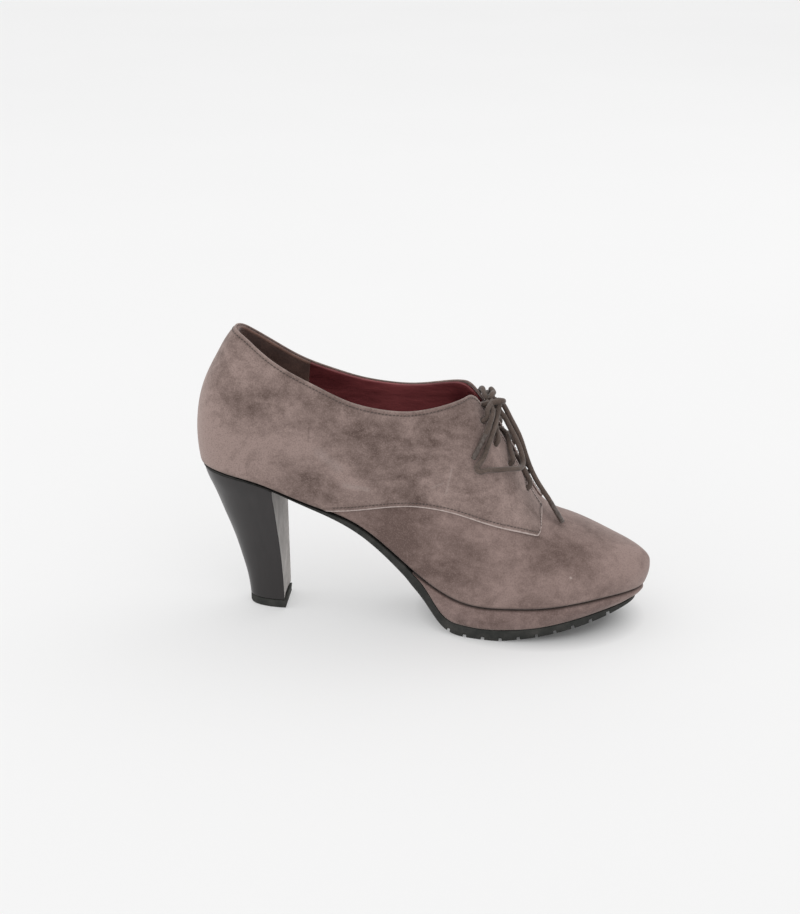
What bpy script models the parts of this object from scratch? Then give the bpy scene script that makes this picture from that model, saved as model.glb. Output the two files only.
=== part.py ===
"""Women's lace-up platform heel, right shoe, standing empty on its sole.

Metres. The origin is the centre of the heel's ground face, +X runs to the toe,
+Y is the inner (medial) side of the foot and +Z is up.
"""
from collections import namedtuple

import bmesh
import bpy
import numpy as np
from mathutils import Vector

for old in list(bpy.data.objects):
    bpy.data.objects.remove(old, do_unlink=True)

# Driving sizes of the shoe
FOOT_LENGTH = 0.2365      # feather line, back to toe tip, measured along the floor
BACK_X = -0.0342          # back of the feather line, behind the heel's centre
BALL_WIDTH = 0.077        # feather line across the ball
SEAT_HEIGHT = 0.0820      # floor to the feather line at the heel seat
BACK_HEIGHT = 0.0740      # seat to the top of the back seam
PLATFORM = 0.0121         # wrapped platform under the ball
OUTSOLE = 0.0065          # rubber outsole under the ball, lugs included
WALL = 0.0015             # vamp leather and its lining
QUARTER_STEP = 0.0011     # quarter leather, stitched on over the vamp
TOE_BULGE = 0.0028        # how far the toe wall stands past the feather line
TOE_BULGE_HEIGHT = 0.0220
BELLY_PEAK = 2.6          # brings the swell of each wall to full depth at its middle
BACK_FADE = 4             # powers of the share: how soon the back seam's lean fades out,
TOE_FADE = 6              # where the toe's bulge sets in,
TOE_LEAN_FADE = 8         # and where the platform's extra lean at the toe does
GAP = 0.0003              # clearance between pieces that touch

# Sole and heel
INSOLE = 0.0020
INSOLE_MARGIN = 0.0009    # between the insole and the inside of the upper
PLATFORM_START = 0.485    # share of the length where the platform begins
PLATFORM_LEAD = 0.015     # share over which the rubber steps down to pass under it
BALL_SHARE = 0.600
PLATFORM_INSET = 0.0018   # how far its wall leans in below the ball
TOE_INSET = 0.0028        # and how much further at the toe
WELT_EDGE = 0.0006        # the rubber shows this far past the platform
LUG_DEPTH = 0.0023
LUG_GAP = 0.0022
LUG_PITCH = 0.0097
LUG_REACH = 0.0100        # length of a groove, in from the edge
LUG_START = 0.565         # share of the length at the first groove
LUG_COUNT = 10
TREAD_LENGTH = 0.0200     # heel's ground face, back to breast
TREAD_HALF_WIDTH = 0.0120
TREAD_SQUARE = 0.75       # under 1 squares the D of the ground face
BREAST_SHARE = 0.168      # share of the length where the heel breast meets the sole
TOP_PIECE = 0.0047
TOP_PIECE_LIP = 0.0008

HEM_TRIM = 0.008          # the upper's forms are cut off at the feather line
QUARTER_HEM = 0.6         # shares of the trim that each form hangs down before it
VAMP_HEM = 0.3
COLLAR_REACH = 0.030      # half width over which the topline's drop is spread

# Throat, tongue and laces
THROAT_TOP = 0.617        # shares of the length
THROAT_END = 0.744
THROAT_LEAD = 0.020       # the gap's cutter starts this far behind the throat
FACING_FRONT = 0.7622
OPEN_FRONT = 0.812        # the cutter between the facings runs on to here
HALF_GAP_TOP = 0.0075
HALF_GAP_END = 0.0052
LINING_TUCK = 0.0004      # the lining's edge runs this far off the quarter's
TONGUE_THICK = 0.0014
TONGUE_HALF_WIDTH = 0.0175
TONGUE_TOP = 0.606
TONGUE_END = 0.775
EYELET_HOLE = 0.0016      # radius
LACE = 0.00135            # radius
LACE_REST = 0.0006        # the crossings' clearance above the quarter
LACE_STEP = 0.0050        # between the points of a cord
CROSSING_STEPS = 6
AGLET = 0.00125           # radius

STATIONS = 40
ARCH_STEPS = 26

# One row for each section of the last. share: along the foot. lateral and medial: half
# widths of the feather line, as shares of the ball width. lift: feather height between
# forepart and heel seat. crown: height of the closed last above the feather line, as a
# share of the back height. square: how boxy the arch is. belly: how far each wall
# swells past the feather line, as shares of the ball width.
Station = namedtuple("Station", "share lateral medial lift crown square belly_out belly_in")
LAST = (
    Station(0.000, 0.000, 0.000, 0.990, 1.060, 2.3, 0.00, 0.00),
    Station(0.020, 0.188, 0.188, 1.000, 1.030, 2.3, 0.01, 0.01),
    Station(0.067, 0.295, 0.289, 0.982, 0.990, 2.3, 0.02, 0.02),
    Station(0.150, 0.345, 0.332, 0.915, 0.985, 2.3, 0.03, 0.04),
    Station(0.250, 0.345, 0.302, 0.765, 1.030, 2.4, 0.03, 0.07),
    Station(0.370, 0.340, 0.243, 0.565, 1.280, 2.5, 0.02, 0.10),
    Station(0.500, 0.395, 0.256, 0.180, 1.620, 2.5, 0.01, 0.08),
    Station(0.600, 0.495, 0.360, 0.010, 1.440, 2.4, 0.00, 0.04),
    Station(0.700, 0.539, 0.461, 0.000, 0.955, 2.1, 0.01, 0.02),
    Station(0.755, 0.528, 0.470, 0.003, 0.635, 2.1, 0.02, 0.02),
    Station(0.820, 0.485, 0.452, 0.017, 0.490, 2.1, 0.02, 0.02),
    Station(0.900, 0.370, 0.364, 0.035, 0.370, 2.2, 0.02, 0.02),
    Station(0.970, 0.195, 0.208, 0.025, 0.275, 2.2, 0.02, 0.02),
    Station(1.000, 0.000, 0.000, 0.005, 0.185, 2.2, 0.00, 0.00),
)

# Back seam in profile: height above the seat and set-forward, as shares of BACK_HEIGHT
BackRow = namedtuple("BackRow", "height forward")
BACK_SEAM = (
    BackRow(-0.06, 0.020),
    BackRow(0.05, 0.000),
    BackRow(0.20, -0.014),
    BackRow(0.35, -0.008),
    BackRow(0.50, 0.018),
    BackRow(0.65, 0.072),
    BackRow(0.80, 0.150),
    BackRow(0.94, 0.235),
    BackRow(1.00, 0.285),
    BackRow(1.15, 0.400),
)

# Topline in profile: share of the length, height above the seat as a share of
# BACK_HEIGHT on the outer side, and how much lower the inner side runs
TopRow = namedtuple("TopRow", "share height drop")
TOPLINE = (
    TopRow(0.000, 1.080, 0.000),
    TopRow(0.085, 0.984, 0.000),
    TopRow(0.145, 0.868, 0.040),
    TopRow(0.208, 0.746, 0.055),
    TopRow(0.276, 0.645, 0.042),
    TopRow(0.343, 0.558, 0.020),
    TopRow(0.407, 0.515, 0.005),
    TopRow(0.474, 0.509, 0.000),
    TopRow(0.534, 0.545, 0.005),
    TopRow(0.589, 0.582, 0.005),
    TopRow(0.620, 0.592, 0.000),
    TopRow(0.660, 0.600, 0.000),
)

# Lower edge of the quarter in profile: share of the length, and height as a share of
# the seat height
EdgeRow = namedtuple("EdgeRow", "share height")
QUARTER_EDGE = (
    EdgeRow(0.285, 0.787),
    EdgeRow(0.345, 0.797),
    EdgeRow(0.411, 0.829),
    EdgeRow(0.465, 0.852),
    EdgeRow(0.537, 0.860),
    EdgeRow(0.583, 0.846),
    EdgeRow(0.629, 0.812),
    EdgeRow(0.674, 0.773),
    EdgeRow(0.719, 0.729),
    EdgeRow(0.757, 0.677),
)
CORNER_RADIUS = 0.0020

# Sole from the heel seat to the toe. platform: thickness as a share of PLATFORM.
# rubber: outsole thickness as a share of OUTSOLE. It never reaches below the floor, so
# the ball has a flat patch.
SoleRow = namedtuple("SoleRow", "share platform rubber")
SOLE = (
    SoleRow(0.000, 0.00, 0.20),
    SoleRow(0.250, 0.00, 0.20),
    SoleRow(0.300, 0.00, 0.38),
    SoleRow(0.350, 0.00, 0.56),
    SoleRow(0.400, 0.00, 0.70),
    SoleRow(0.450, 0.00, 0.89),
    SoleRow(0.485, 0.05, 1.12),
    SoleRow(0.510, 0.22, 1.24),
    SoleRow(0.550, 0.93, 1.06),
    SoleRow(0.600, 1.04, 1.02),
    SoleRow(0.650, 1.00, 1.02),
    SoleRow(0.700, 0.98, 0.94),
    SoleRow(0.800, 0.83, 0.78),
    SoleRow(0.900, 0.66, 0.68),
    SoleRow(0.970, 0.52, 0.40),
    SoleRow(1.000, 0.42, 0.34),
)

# Heel from top piece to seat. height: share of the way up. back and side: how much of
# the flare from tread to seat is reached there.
HeelRow = namedtuple("HeelRow", "height back side")
HEEL = (
    HeelRow(0.00, 0.00, 0.00),
    HeelRow(0.14, 0.06, 0.04),
    HeelRow(0.29, 0.18, 0.13),
    HeelRow(0.47, 0.35, 0.30),
    HeelRow(0.67, 0.59, 0.56),
    HeelRow(0.84, 0.80, 0.80),
    HeelRow(0.94, 0.94, 0.94),
    HeelRow(1.00, 1.00, 1.00),
)
HEEL_MARGIN = 0.0004      # the heel's top stands this far inside the outsole's edge
HEEL_RING = 16

# Eyelet pairs, bottom pair first: share of the length, and distance from the ridge as a
# share of BALL_WIDTH
EyeletRow = namedtuple("EyeletRow", "share side")
EYELETS = (
    EyeletRow(0.727, 0.157),
    EyeletRow(0.688, 0.213),
    EyeletRow(0.656, 0.226),
    EyeletRow(0.626, 0.203),
)

# Knot and the cords that leave it, each along points chosen by hand
KNOT = (0.1194, -0.0024, 0.1208)
KNOT_RADII = (0.0042, 0.0046, 0.0029)
KNOT_WRAP = 0.0005        # how far the wrap round its middle stands out
OUTER_LOOP = (
    (0.1216, -0.0080, 0.1180), (0.1222, -0.0116, 0.1160), (0.1216, -0.0154, 0.1128),
    (0.1202, -0.0206, 0.1088), (0.1176, -0.0264, 0.1020), (0.1149, -0.0309, 0.0968),
    (0.1129, -0.0332, 0.0938), (0.1139, -0.0332, 0.0924), (0.1174, -0.0319, 0.0924),
    (0.1223, -0.0292, 0.0920), (0.1274, -0.0270, 0.0917), (0.1320, -0.0236, 0.0909),
    (0.1352, -0.0186, 0.0898), (0.1360, -0.0134, 0.0912), (0.1344, -0.0096, 0.0960),
    (0.1312, -0.0070, 0.1024), (0.1278, -0.0062, 0.1084), (0.1248, -0.0052, 0.1132),
    (0.1229, -0.0049, 0.1156),
)
INNER_LOOP = (
    (0.1194, 0.0017, 0.1245), (0.1180, 0.0054, 0.1248), (0.1178, 0.0102, 0.1226),
    (0.1184, 0.0156, 0.1186), (0.1176, 0.0224, 0.1114), (0.1150, 0.0284, 0.1034),
    (0.1122, 0.0318, 0.0980), (0.1094, 0.0318, 0.0996), (0.1086, 0.0284, 0.1058),
    (0.1102, 0.0216, 0.1134), (0.1120, 0.0148, 0.1198), (0.1130, 0.0091, 0.1227),
    (0.1138, 0.0048, 0.1234), (0.1144, 0.0018, 0.1225),
)
SHORT_END = (
    (0.1186, -0.0090, 0.1199), (0.1196, -0.0134, 0.1182), (0.1190, -0.0184, 0.1146),
    (0.1169, -0.0228, 0.1094),
)
SHORT_AGLET = ((0.1166, -0.0233, 0.1088), (0.1110, -0.0314, 0.0984))
LONG_END = (
    (0.1245, -0.0018, 0.1180), (0.1286, -0.0016, 0.1100), (0.1332, -0.0018, 0.1014),
    (0.1379, -0.0024, 0.0910), (0.1425, -0.0032, 0.0813), (0.1470, -0.0042, 0.0726),
    (0.1506, -0.0054, 0.0666),
)
LONG_AGLET = ((0.1510, -0.0059, 0.0661), (0.1576, -0.0128, 0.0578))

CUTTER_REACH = 0.060      # cutters run this far past the shoe
HIGH = 0.240

shoe = bpy.data.collections.new("lace_up_heel")
cutters = bpy.data.collections.new("cutters")
bpy.context.scene.collection.children.link(shoe)
bpy.context.scene.collection.children.link(cutters)


def finish_material(name, colour, roughness, coat=0.0):
    made = bpy.data.materials.new(name)
    made.use_nodes = True
    shader = made.node_tree.nodes["Principled BSDF"]
    shader.inputs["Base Color"].default_value = (*colour, 1.0)
    shader.inputs["Roughness"].default_value = roughness
    shader.inputs["Metallic"].default_value = 0.0
    shader.inputs["Coat Weight"].default_value = coat
    return made


SUEDE = finish_material("taupe_suede", (0.190, 0.155, 0.145), 0.95)
LINING = finish_material("burgundy_lining", (0.085, 0.018, 0.022), 0.55)
RUBBER = finish_material("dark_rubber", (0.030, 0.032, 0.030), 0.80)
LACQUER = finish_material("black_lacquer", (0.012, 0.011, 0.012), 0.25, 0.6)
LACE_CORD = finish_material("olive_brown_cord", (0.070, 0.058, 0.046), 0.90)
AGLET_PLASTIC = finish_material("smoky_plastic", (0.120, 0.130, 0.140), 0.30)


# The last, as functions of the turn along the foot and of the arch across it

def smooth(xs, ys, x):
    """Natural cubic through the points of two columns, read at x."""
    xs = np.asarray(xs, float)
    ys = np.asarray(ys, float)
    step = np.diff(xs)
    count = len(xs)
    matrix = np.eye(count)
    right = np.zeros(count)
    for i in range(1, count - 1):
        matrix[i, i - 1:i + 2] = step[i - 1], 2 * (step[i - 1] + step[i]), step[i]
        right[i] = 6 * ((ys[i + 1] - ys[i]) / step[i] - (ys[i] - ys[i - 1]) / step[i - 1])
    bend = np.linalg.solve(matrix, right)
    x = np.asarray(x, float)
    k = np.clip(np.searchsorted(xs, x) - 1, 0, count - 2)
    after = xs[k + 1] - x
    before = x - xs[k]
    cubic = (bend[k] * after ** 3 + bend[k + 1] * before ** 3) / (6 * step[k])
    low = (ys[k] / step[k] - bend[k] * step[k] / 6) * after
    high = (ys[k + 1] / step[k] - bend[k + 1] * step[k] / 6) * before
    return cubic + low + high


def turn_at(share):
    return np.arccos(1 - 2 * np.clip(share, 0.0, 1.0))


def share_at(turn):
    return (1 - np.cos(turn)) / 2


def table(rows, key, name, x):
    return smooth([getattr(r, key) for r in rows], [getattr(r, name) for r in rows], x)


def last_column(name, turn):
    return smooth([turn_at(r.share) for r in LAST], [getattr(r, name) for r in LAST], turn)


FORE_HEIGHT = OUTSOLE + PLATFORM + 2 * GAP


def feather_height(turn):
    return FORE_HEIGHT + (SEAT_HEIGHT - FORE_HEIGHT) * last_column("lift", turn)


def last_point(turn, arch, grow=0.0):
    """Point on the vamp's outer face. arch runs from -1, the lateral feather line, over
    the ridge at 0 to 1, the medial feather line. grow widens the whole form."""
    turn = np.asarray(turn, float)
    arch = np.asarray(arch, float)
    share = share_at(turn)
    side = np.where(arch < 0, -1.0, 1.0)
    out = arch < 0
    half = np.where(out, last_column("lateral", turn), last_column("medial", turn)) * BALL_WIDTH
    belly = np.where(out, last_column("belly_out", turn), last_column("belly_in", turn))
    power = 2 / last_column("square", turn)
    angle = (1 - np.abs(arch)) * np.pi / 2
    up = np.abs(np.sin(angle))
    across = np.abs(np.cos(angle))
    wide = (half + grow * np.sin(turn)) * across ** power
    wide = wide + belly * BALL_WIDTH * BELLY_PEAK * up * across ** 2
    feather = feather_height(turn)
    z = feather + (last_column("crown", turn) * BACK_HEIGHT + grow) * up ** power
    level = np.clip((z - SEAT_HEIGHT) / BACK_HEIGHT, BACK_SEAM[0].height, BACK_SEAM[-1].height)
    back = table(BACK_SEAM, "height", "forward", level) * BACK_HEIGHT * (1 - share) ** BACK_FADE
    swell = np.sin(np.pi * np.clip((z - feather) / TOE_BULGE_HEIGHT, 0, 1))
    bulge = TOE_BULGE * swell * share ** TOE_FADE
    x = BACK_X + FOOT_LENGTH * share + back + bulge - grow * np.cos(turn)
    return np.stack([x, side * wide, z], -1)


def outward(turn, arch):
    """Unit normal of the last."""
    small = 1e-4
    first = np.clip(np.asarray(turn, float), small, np.pi - small)
    along = last_point(first + small, arch) - last_point(first - small, arch)
    over = last_point(first, np.minimum(arch + small, 1)) - last_point(first, np.maximum(arch - small, -1))
    normal = np.cross(along, over)
    size = np.linalg.norm(normal, axis=-1, keepdims=True)
    return normal / np.maximum(size, 1e-15)


def arch_at(turn, y):
    """Where the arch passes the given y, found by halving."""
    side = -1.0 if y < 0 else 1.0
    low, high = 0.0, 1.0
    for _ in range(40):
        middle = (low + high) / 2
        if abs(last_point(turn, side * middle)[1]) < abs(y):
            low = middle
        else:
            high = middle
    return side * (low + high) / 2


def share_x(share):
    return BACK_X + FOOT_LENGTH * share


# Mesh helpers

def mesh_object(name, verts, faces, material, home=shoe):
    """Closed or open mesh from rows of points, with points that coincide joined."""
    build = bmesh.new()
    made = [build.verts.new(Vector(v)) for v in verts]
    for face in faces:
        build.faces.new([made[i] for i in face])
    bmesh.ops.remove_doubles(build, verts=build.verts, dist=1e-6)
    bmesh.ops.recalc_face_normals(build, faces=build.faces)
    mesh = bpy.data.meshes.new(name)
    build.to_mesh(mesh)
    build.free()
    made_object = bpy.data.objects.new(name, mesh)
    made_object.data.materials.append(material)
    home.objects.link(made_object)
    return made_object


def stack(name, layers, material, home=shoe):
    """Solid from layers, each a lateral and a medial row of points of equal length.
    The rows start and end in one shared point, or in a flat face between them."""
    count = len(layers[0][0])
    verts = [p for lateral, medial in layers for row in (lateral, medial) for p in row]

    def place(layer, side, i):
        return (2 * layer + side) * count + i

    faces = []
    for k in range(len(layers) - 1):
        for side in (0, 1):
            for i in range(count - 1):
                faces.append((place(k, side, i), place(k, side, i + 1),
                              place(k + 1, side, i + 1), place(k + 1, side, i)))
        for i in (0, count - 1):
            faces.append((place(k, 0, i), place(k, 1, i), place(k + 1, 1, i), place(k + 1, 0, i)))
    for k in (0, len(layers) - 1):
        for i in range(count - 1):
            faces.append((place(k, 0, i), place(k, 0, i + 1), place(k, 1, i + 1), place(k, 1, i)))
    return mesh_object(name, verts, faces, material, home)


def sheet(name, rows, material, home=shoe):
    """Open surface through rows of points, its faces turned away from the shoe."""
    count = len(rows[0])
    verts = [p for row in rows for p in row]
    faces = [(r * count + i, (r + 1) * count + i, (r + 1) * count + i + 1, r * count + i + 1)
             for r in range(len(rows) - 1) for i in range(count - 1)]
    made = mesh_object(name, verts, faces, material, home)
    lowest_side = min(made.data.polygons, key=lambda face: face.center.y)
    if lowest_side.normal.y > 0:
        made.data.flip_normals()
    return made


def meshed(source, material, home):
    """A curve object's evaluated shape as a mesh object, caps welded."""
    bpy.context.view_layer.update()
    shape = bpy.data.meshes.new_from_object(source.evaluated_get(bpy.context.evaluated_depsgraph_get()))
    build = bmesh.new()
    build.from_mesh(shape)
    bmesh.ops.remove_doubles(build, verts=build.verts, dist=1e-6)
    bmesh.ops.recalc_face_normals(build, faces=build.faces)
    build.to_mesh(shape)
    build.free()
    shape.materials.clear()
    shape.materials.append(material)
    made = bpy.data.objects.new(source.name + "_mesh", shape)
    made.matrix_world = source.matrix_world
    home.objects.link(made)
    bpy.data.objects.remove(source, do_unlink=True)
    return made


def as_cutter(made):
    made.hide_render = True
    made.display_type = "WIRE"
    return made


def flat_cutter(name, outline, middle, depth, upright):
    """Prism from a flat outline. An upright one is drawn in X and Z and runs along Y,
    the other is drawn in X and Y and runs along Z. middle is its centre on that axis."""
    shape = bpy.data.curves.new(name, "CURVE")
    shape.dimensions = "2D"
    shape.fill_mode = "BOTH"
    shape.extrude = depth / 2
    line = shape.splines.new("POLY")
    line.points.add(len(outline) - 1)
    for point, (u, v) in zip(line.points, outline):
        point.co = (u, v, 0.0, 1.0)
    line.use_cyclic_u = True
    drawn = bpy.data.objects.new(name, shape)
    cutters.objects.link(drawn)
    if upright:
        drawn.rotation_euler = (np.pi / 2, 0.0, 0.0)
        drawn.location = (0.0, middle, 0.0)
    else:
        drawn.location = (0.0, 0.0, middle)
    return as_cutter(meshed(drawn, SUEDE, cutters))


def thicken(made, thickness, offset):
    wall = made.modifiers.new("wall", "SOLIDIFY")
    wall.thickness = thickness
    wall.offset = offset
    wall.use_even_offset = True
    wall.use_rim = True


def combine(made, operation, other, name):
    step = made.modifiers.new(name, "BOOLEAN")
    step.operation = operation
    step.object = other
    step.solver = "EXACT"


# Upper: vamp and quarters in one hollow wall

def last_sheet(name, home, hem):
    """The last's surface, with a hem that hangs below the feather line to be trimmed."""
    arches = np.linspace(-1, 1, ARCH_STEPS + 1)
    rows = []
    for turn in np.linspace(0, np.pi, STATIONS + 1):
        row = last_point(np.full(len(arches), turn), arches)
        low = np.array([0.0, 0.0, hem])
        rows.append(np.vstack([row[0] - low, row, row[-1] - low]))
    return sheet(name, rows, SUEDE, home)


def hem_cutter():
    """All that lies below the feather line."""
    turns = np.linspace(0, np.pi, STATIONS + 1)
    wide = np.full(len(turns), HEM_TRIM)
    layers = [
        outline(turns, wide, feather_height),
        outline(turns, wide, lambda turn: feather_height(turn) - HEM_TRIM),
    ]
    return as_cutter(stack("hem_cutter", layers, SUEDE, cutters))


def topline_cutter(name, rise):
    """All that lies above the topline raised by rise. It runs lower on the medial side."""
    shares = np.linspace(-0.15, TOPLINE[-1].share, 34)
    read = np.maximum(shares, 0.0)
    height = SEAT_HEIGHT + BACK_HEIGHT * table(TOPLINE, "share", "height", read) + rise
    drop = BACK_HEIGHT * table(TOPLINE, "share", "drop", read)
    x = share_x(shares)
    wide = np.full(len(x), COLLAR_REACH)
    lateral = np.stack([x, -wide, height], -1)
    medial = np.stack([x, wide, height - drop], -1)
    above = [np.stack([x, side, np.full(len(x), HIGH)], -1) for side in (-wide, wide)]
    return as_cutter(stack(name, [above, (lateral, medial)], SUEDE, cutters))


def quarter_outline():
    """The quarter in side view: everything behind its front and above its lower edge."""
    edge = [(share_x(r.share), SEAT_HEIGHT * r.height) for r in QUARTER_EDGE]
    xs = np.linspace(edge[0][0], edge[-1][0], 24)
    zs = smooth([p[0] for p in edge], [p[1] for p in edge], xs)
    front = share_x(FACING_FRONT)
    points = list(zip(xs, zs))
    points += [(front - CORNER_RADIUS * 0.2, edge[-1][1] + CORNER_RADIUS * 0.4)]
    points += [(front, edge[-1][1] + CORNER_RADIUS * 1.6)]
    points += [(front, HIGH), (-CUTTER_REACH, HIGH), (-CUTTER_REACH, 0.0), (edge[0][0], 0.0)]
    return points


def throat_outline(end_share, tuck):
    """The gap between the facings, seen from above, with a round end. The lining's edge
    is tucked in past the quarter's."""
    start = share_x(THROAT_TOP) - THROAT_LEAD + 2 * tuck
    end = share_x(end_share)
    narrow = HALF_GAP_END - tuck
    angles = np.linspace(-np.pi / 2, np.pi / 2, 9)
    points = [(end - narrow + narrow * np.cos(a), narrow * np.sin(a)) for a in angles]
    return points + [(start, HALF_GAP_TOP - tuck), (start, tuck - HALF_GAP_TOP)]


def eyelet_places():
    """Centre and outward direction of each eyelet, bottom pair first, lateral before
    medial."""
    places = []
    for row in EYELETS:
        turn = turn_at(row.share)
        for side in (-1, 1):
            arch = arch_at(turn, side * row.side * BALL_WIDTH)
            places.append((last_point(turn, arch), outward(turn, arch)))
    return places


def eyelet_cutter():
    build = bmesh.new()
    for centre, normal in eyelet_places():
        turned = Vector((0, 0, 1)).rotation_difference(Vector(normal)).to_matrix().to_4x4()
        turned.translation = Vector(centre)
        bmesh.ops.create_cone(build, cap_ends=True, segments=10, radius1=EYELET_HOLE,
                              radius2=EYELET_HOLE, depth=4 * (WALL + QUARTER_STEP), matrix=turned)
    mesh = bpy.data.meshes.new("eyelet_cutter")
    build.to_mesh(mesh)
    build.free()
    made = bpy.data.objects.new("eyelet_cutter", mesh)
    cutters.objects.link(made)
    return as_cutter(made)


def make_upper():
    quarters = as_cutter(last_sheet("quarter_form", cutters, QUARTER_HEM * HEM_TRIM))
    overlap = WALL / 2
    whole = QUARTER_STEP + overlap
    thicken(quarters, whole, (QUARTER_STEP - overlap) / whole)
    side_view = flat_cutter("quarter_side", quarter_outline(), 0.0, 2 * CUTTER_REACH, True)
    long_throat = flat_cutter("facing_gap", throat_outline(OPEN_FRONT, 0.0), HIGH / 2, HIGH, False)
    combine(quarters, "DIFFERENCE", topline_cutter("quarter_top", 0.0), "topline")
    combine(quarters, "INTERSECT", side_view, "quarter_edge")
    combine(quarters, "DIFFERENCE", long_throat, "facing_gap")
    upper = last_sheet("upper", shoe, VAMP_HEM * HEM_TRIM)
    thicken(upper, WALL, -1.0)
    short_throat = flat_cutter("throat", throat_outline(THROAT_END, LINING_TUCK), HIGH / 2, HIGH, False)
    combine(upper, "DIFFERENCE", topline_cutter("lining_top", -LINING_TUCK), "topline")
    combine(upper, "DIFFERENCE", short_throat, "throat")
    combine(upper, "UNION", quarters, "quarters")
    combine(upper, "DIFFERENCE", hem_cutter(), "hem")
    combine(upper, "DIFFERENCE", eyelet_cutter(), "eyelets")
    return upper


# Tongue, lying under the facings

def make_tongue():
    turns = np.linspace(turn_at(TONGUE_TOP), turn_at(TONGUE_END), 16)
    sides = np.linspace(-TONGUE_HALF_WIDTH, TONGUE_HALF_WIDTH, 11)
    rows = []
    for turn in turns:
        arches = np.array([arch_at(turn, y) for y in sides])
        arches[len(sides) // 2] = 0.0
        spread = np.full(len(arches), turn)
        rows.append(last_point(spread, arches) - (WALL + GAP) * outward(spread, arches))
    tongue = sheet("tongue", rows, SUEDE)
    thicken(tongue, TONGUE_THICK, -1.0)
    return tongue


# Insole, platform and outsole, each a stack of outlines

def outline(turns, grow, height):
    """Both sides of the feather line, grown, at a height given for each turn. Height is
    read where the point lies along the foot, so that outlines of any growth nest."""
    rows = []
    for side in (-1.0, 1.0):
        row = np.array([last_point(turn, side, g) for turn, g in zip(turns, grow)])
        row[:, 2] = height(turn_at((row[:, 0] - BACK_X) / FOOT_LENGTH))
        rows.append(row)
    return rows


def platform_depth(turns):
    share = share_at(turns)
    depth = PLATFORM * table(SOLE, "share", "platform", share)
    return np.where(share < PLATFORM_START, 0.0, np.maximum(depth, GAP))


def outsole_top(turns):
    """The rubber lies under the upper as far as the platform, then under that."""
    under = np.clip((share_at(turns) - PLATFORM_START + PLATFORM_LEAD) / PLATFORM_LEAD, 0, 1)
    ahead = np.maximum(turns, turn_at(PLATFORM_START))
    return feather_height(turns) - GAP - under * (platform_depth(ahead) + GAP)


def outsole_bottom(turns):
    thick = OUTSOLE * table(SOLE, "share", "rubber", share_at(turns))
    return np.maximum(outsole_top(turns) - thick, 0.0)


def platform_lean(turns):
    share = share_at(turns)
    rise = np.clip((share - PLATFORM_START) / (BALL_SHARE - PLATFORM_START), 0, 1)
    return -(PLATFORM_INSET * rise + TOE_INSET * share ** TOE_LEAN_FADE)


def platform_turns():
    return np.linspace(turn_at(PLATFORM_START), np.pi, 30)


def make_insole():
    turns = np.linspace(0, np.pi, STATIONS + 1)
    edge = np.full(len(turns), -(WALL + INSOLE_MARGIN))
    layers = [
        outline(turns, edge, lambda turn: feather_height(turn) + INSOLE),
        outline(turns, edge, feather_height),
    ]
    return stack("insole", layers, LINING)


def make_platform():
    turns = platform_turns()
    lean = platform_lean(turns)

    def level(down):
        return lambda turn: feather_height(turn) - GAP - down * platform_depth(turn)

    layers = [
        outline(turns, 0 * turns, level(0.0)),
        outline(turns, 0.35 * lean, level(0.5)),
        outline(turns, lean, level(1.0)),
    ]
    return stack("platform", layers, SUEDE)


def make_outsole():
    waist = np.linspace(0, turn_at(PLATFORM_START - PLATFORM_LEAD), 24)
    turns = np.concatenate([waist, platform_turns()])
    edge = platform_lean(turns)
    proud = edge + WELT_EDGE * np.sin(turns / 2)

    def level(down):
        return lambda turn: outsole_top(turn) * (1 - down) + outsole_bottom(turn) * down

    layers = [
        outline(turns, proud, level(0.0)),
        outline(turns, proud, level(0.7)),
        outline(turns, edge - WELT_EDGE, level(1.0)),
    ]
    outsole = stack("outsole", layers, RUBBER)
    combine(outsole, "DIFFERENCE", lug_cutter(), "lugs")
    return outsole


def lug_cutter():
    """Short grooves in from both edges, between the lugs of the forepart."""
    build = bmesh.new()
    for k in range(LUG_COUNT):
        share = LUG_START + k * LUG_PITCH / FOOT_LENGTH
        turn = turn_at(share)
        roof = outsole_bottom(np.array([turn]))[0] + LUG_DEPTH
        for side in (-1.0, 1.0):
            edge = last_point(turn, side, platform_lean(np.array([turn]))[0])
            block = bmesh.ops.create_cube(build, size=1.0)
            wide = LUG_REACH + CUTTER_REACH / 4
            centre = edge[1] + side * (wide / 2 - LUG_REACH)
            tall = LUG_DEPTH * 4
            bmesh.ops.scale(build, verts=block["verts"], vec=(LUG_GAP, wide, tall))
            bmesh.ops.translate(build, verts=block["verts"], vec=(edge[0], centre, roof - tall / 2))
    mesh = bpy.data.meshes.new("lug_cutter")
    build.to_mesh(mesh)
    build.free()
    made = bpy.data.objects.new("lug_cutter", mesh)
    cutters.objects.link(made)
    return as_cutter(made)


# Heel: a D in plan, flared to the seat, on a rubber top piece

def tread_rows(count, lip=0.0):
    angle = np.linspace(0, np.pi / 2, count)
    x = TREAD_LENGTH / 2 + lip - (TREAD_LENGTH + lip) * np.cos(angle)
    y = TREAD_HALF_WIDTH * np.sin(angle) ** TREAD_SQUARE
    return x, y


def make_heel():
    turns = np.linspace(0, turn_at(BREAST_SHARE), HEEL_RING)
    margin = np.full(HEEL_RING, -HEEL_MARGIN)
    edge = outline(turns, margin, lambda turn: outsole_bottom(turn) - GAP)
    tread_x, tread_y = tread_rows(HEEL_RING)
    base = TOP_PIECE + GAP
    layers = []
    for row in reversed(HEEL):
        rings = []
        for side, seat in zip((-1.0, 1.0), edge):
            x = tread_x + (seat[:, 0] - tread_x) * row.back
            y = side * tread_y + (seat[:, 1] - side * tread_y) * row.side
            z = base + (seat[:, 2] - base) * row.height
            rings.append(np.stack([x, y, z], -1))
        layers.append(rings)
    return stack("heel", layers, LACQUER)


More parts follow.
